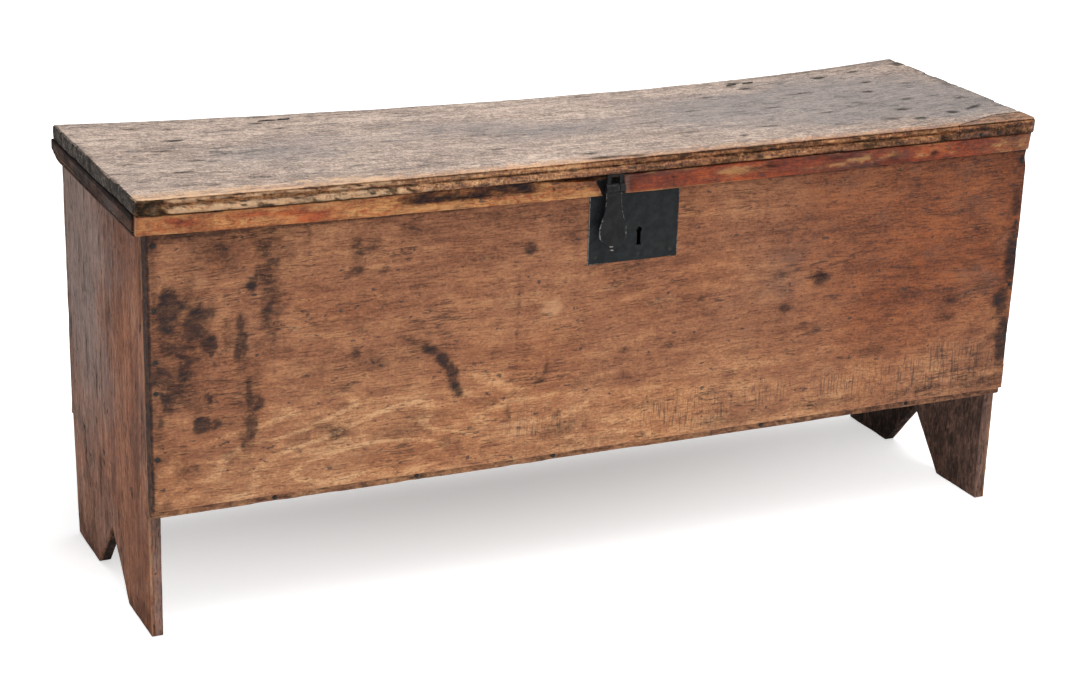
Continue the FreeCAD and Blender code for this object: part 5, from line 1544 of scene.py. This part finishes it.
def dress_everything():
    # The dark colour that the painted masks bring in, both for grime and for painted shade.
    stain = (0.036, 0.029, 0.030)
    front_wood = wood(
        "front_wood", 0, [(0.140, 0.051, 0.026), (0.285, 0.112, 0.055), (0.395, 0.168, 0.082),
                          (0.535, 0.255, 0.120), (0.75, 0.42, 0.215)],
        stain, (0.68, 0.37, 0.19), (0.185, 0.100, 0.072), 1.0, ticks=True, rings=0.42, pores=0.9,
        cracks=0.65, blend=(0.18, 0.13, 0.20, 0.26, 0.24), patchy=(32.0, 70.0), fine=(240.0, 420.0),
        contrast=(0.39, 0.62))
    end_wood = wood(
        "end_wood", 2, [(0.080, 0.036, 0.023), (0.230, 0.101, 0.062), (0.385, 0.180, 0.112),
                        (0.60, 0.315, 0.205)],
        (0.022, 0.019, 0.018), (0.74, 0.43, 0.26), (0.40, 0.315, 0.290), 2.0, gloss=0.70, bump=0.0011,
        shine=0.08, cracks=0.95, blend=(0.20, 0.18, 0.24, 0.22, 0.18), run=14.0, patchy=(16.0, 60.0),
        fine=(120.0, 300.0), contrast=(0.38, 0.62))
    lid_wood = wood(
        "lid_wood", 0, [(0.09, 0.055, 0.038), (0.235, 0.160, 0.118), (0.370, 0.265, 0.205),
                        (0.58, 0.440, 0.345)],
        (0.015, 0.016, 0.015), (0.76, 0.49, 0.28), (0.170, 0.147, 0.142), 3.0, gloss=0.42, bump=0.0013,
        cracks=0.95, rings=0.5, shine=0.36, run=45.0, fibre=300.0, patchy=(80.0, 95.0), fine=(330.0, 260.0),
        blend=(0.13, 0.20, 0.13, 0.24, 0.32), contrast=(0.405, 0.60),
        other=[(0.085, 0.030, 0.013), (0.27, 0.110, 0.044), (0.44, 0.205, 0.085), (0.70, 0.40, 0.19)])
    inner_wood = wood(
        "inner_wood", 0, [(0.13, 0.07, 0.045), (0.23, 0.13, 0.08), (0.32, 0.185, 0.12), (0.41, 0.26, 0.17)],
        stain, (0.7, 0.5, 0.34), (0.20, 0.15, 0.125), 4.0, gloss=0.70, bump=0.0010, shine=0.12)
    cleat_wood = wood(
        "cleat_wood", 1, [(0.030, 0.016, 0.011), (0.060, 0.031, 0.021), (0.105, 0.052, 0.034),
                          (0.19, 0.095, 0.060)],
        (0.018, 0.016, 0.016), (0.50, 0.27, 0.17), (0.065, 0.050, 0.045), 5.0, gloss=0.66, bump=0.0009,
        shine=0.10, cracks=0.9)
    left_wood = wood(
        "lip_left_wood", 0, [(0.14, 0.044, 0.014), (0.31, 0.115, 0.036), (0.45, 0.185, 0.060),
                             (0.64, 0.31, 0.11)],
        (0.024, 0.022, 0.027), (0.66, 0.34, 0.125), stain, 6.0, figure=110.0, fibre=520.0, gloss=0.46,
        pores=0.8, shine=0.3, tint=(0.78, 0.36, 0.26))
    right_wood = wood(
        "lip_right_wood", 0, [(0.105, 0.035, 0.014), (0.21, 0.077, 0.029), (0.32, 0.128, 0.047),
                              (0.49, 0.225, 0.083)],
        (0.026, 0.020, 0.020), (0.47, 0.235, 0.085), (0.21, 0.17, 0.14), 7.0, figure=110.0, fibre=520.0,
        gloss=0.44, pores=0.8, shine=0.3, tint=(0.80, 0.32, 0.16))
    plate_iron = iron("plate_iron", (0.0060, 0.0076, 0.0088), (0.017, 0.020, 0.022), (0.040, 0.024, 0.018),
                      0.56, 1.0, 0.2)
    hasp_iron = iron("hasp_iron", (0.0042, 0.0042, 0.0048), (0.014, 0.014, 0.015), (0.050, 0.028, 0.020),
                     0.50, 2.0, 0.2, HIGHLIGHT_BAR_LEVELS)
    nail_iron = iron("nail_iron", (0.012, 0.012, 0.012), (0.040, 0.040, 0.038), (0.060, 0.036, 0.026),
                     0.52, 3.0, 0.6)
    hinge_iron = iron("hinge_iron", (0.012, 0.011, 0.011), (0.036, 0.033, 0.030), (0.07, 0.04, 0.028),
                      0.60, 4.0, 0.6)

    paint_front(front)
    paint_end(left_end, -1)
    paint_end(right_end, 1)
    paint_lid(lid)
    paint_lid(patch, True)
    paint_inner(back)
    paint_inner(bottom)
    paint_lip(lip_left, False)
    paint_lip(lip_right, True)
    paint_cleat(cleat)
    paint_iron(plate, leaf, knuckle)
    dress(front_wood, front)
    dress(end_wood, left_end, right_end)
    dress(lid_wood, lid, patch)
    dress(inner_wood, back, bottom)
    dress(left_wood, lip_left)
    dress(right_wood, lip_right)
    dress(cleat_wood, cleat)
    dress(plate_iron, plate)
    dress(hasp_iron, leaf, knuckle)
    dress(nail_iron, *heads)
    dress(hinge_iron, *loops)

    # The CAD nodes that still show.
    for finish, names in (
        (hinge_iron, ("hinge_eye_left", "hinge_eye_right")),
        (plate_iron, ("lock_case", "bolt_guides", "bolt_spring", "key_post", "lock_bolt")),
        (hasp_iron, ("hasp_strap", "hasp_pin", "hasp_staple")),
        (nail_iron, ("strap_nails",)),
    ):
        for name in names:
            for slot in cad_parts[name].material_slots:
                slot.material = finish


dress_everything()


# --- camera -----------------------------------------------------------------------------------
def make_camera():
    """The photograph's view: a fitted pinhole camera, in case millimetres."""
    focal, centre_y = 2497.14, 391.5
    width, height = 1080, 683
    right = Vector((0.90769, -0.41857, 0.0299))
    down = Vector((-0.1245, -0.33666, -0.93336))
    forward = Vector((0.40074, 0.84348, -0.35769))
    place = Vector(row(np.array([-1233.19, -2418.36, 1255.54])))
    camera = bpy.data.cameras.new("camera")
    camera.sensor_width = 36.0
    camera.lens = focal / width * 36.0
    camera.shift_y = (centre_y - height / 2) / width
    camera.clip_start = 0.1
    camera.clip_end = 60
    obj = bpy.data.objects.new("camera", camera)
    turn = Matrix((right, -down, -forward)).transposed().to_4x4()
    obj.matrix_world = Matrix.Translation(place) @ turn
    bpy.context.scene.collection.objects.link(obj)
    bpy.context.scene.camera = obj


make_camera()


# --- floor and light --------------------------------------------------------------------------
FLOOR_HALF = 14.0
FLOOR_SHADOW_GLOW, FLOOR_FAR = 0.32, 0.80      # how strongly it glows under the chest, less there as a painted shadow, and away from it
# The painted shadow's oval: its stretch and shift, and the reaches over which the floor brightens again.
SHADOW_OVAL_SCALE, SHADOW_OVAL_SHIFT = (1 / 1.05, 1 / 0.50, 1.0), (0.0, -0.70, 0.0)
SHADOW_OVAL_INNER, SHADOW_OVAL_OUTER = 0.36, 1.10


def make_floor():
    """White paper that also glows a little, less so in a soft oval round the chest, which paints its
    shadow.
    """
    mesh = bpy.data.meshes.new("floor")
    s = FLOOR_HALF
    mesh.from_pydata([(-s, -s, 0), (s, -s, 0), (s, s, 0), (-s, s, 0)], [], [(0, 1, 2, 3)])
    floor = bpy.data.objects.new("floor", mesh)
    bpy.context.scene.collection.objects.link(floor)
    m = Maker("floor_paper")
    m.shader.inputs["Base Color"].default_value = (0.86, 0.86, 0.86, 1)
    m.shader.inputs["Roughness"].default_value = 0.9
    m.shader.inputs["Specular IOR Level"].default_value = 0.0
    # Painted shadow: the floor glows less inside a soft oval round the chest.
    oval = m.stretch(m.here, SHADOW_OVAL_SCALE, SHADOW_OVAL_SHIFT)
    reach = m.add("VectorMath", {0: oval}, "Value", operation="LENGTH")
    glow_with_painted_shadow = m.step(reach, SHADOW_OVAL_INNER, SHADOW_OVAL_OUTER, FLOOR_SHADOW_GLOW, FLOOR_FAR)
    white = m.add("Emission", {"Color": (1, 1, 1), "Strength": m.times(seen_directly(m.tree), glow_with_painted_shadow)})
    both = m.add("AddShader", {0: m.shader.outputs[0], 1: white})
    m.put(m.tree.nodes["Material Output"].inputs["Surface"], both)
    mesh.materials.append(m.material)


def seen_directly(tree):
    """1 for camera, mirror and see-through rays, and nothing for the light on the object."""
    path = add_node(tree, "LightPath", {})
    total = path.outputs["Is Camera Ray"]
    for name in ("Is Glossy Ray", "Is Transmission Ray"):
        total = add_node(tree, "Math", {0: total, 1: path.outputs[name]}, operation="MAXIMUM").outputs[0]
    return total


def area(name, place, target, size, power):
    light = bpy.data.lights.new(name, "AREA")
    light.energy = power
    light.size = size
    obj = bpy.data.objects.new(name, light)
    obj.location = place
    obj.rotation_euler = (Vector(target) - Vector(place)).to_track_quat("-Z", "Y").to_euler()
    bpy.context.scene.collection.objects.link(obj)


def make_world():
    """White where it is seen, and dimmer as light."""
    world = bpy.data.worlds.new("world")
    bpy.context.scene.world = world
    world.use_nodes = True
    tree = world.node_tree
    tree.nodes.clear()
    soft = add_node(tree, "Background", {"Color": (1, 1, 1), "Strength": 0.30})
    white = add_node(tree, "Background", {"Color": (1, 1, 1), "Strength": 1.0})
    mix = add_node(tree, "MixShader", {0: seen_directly(tree), 1: soft.outputs[0], 2: white.outputs[0]})
    add_node(tree, "OutputWorld", {"Surface": mix.outputs[0]})


make_floor()
make_world()
area("top", (0.2, -0.35, 3.0), (0, 0, 0.2), 2.9, 100)
area("key", (0.2, -2.8, 1.3), (0, 0, 0.2), 1.3, 13)
bpy.context.scene.view_settings.view_transform = "Standard"
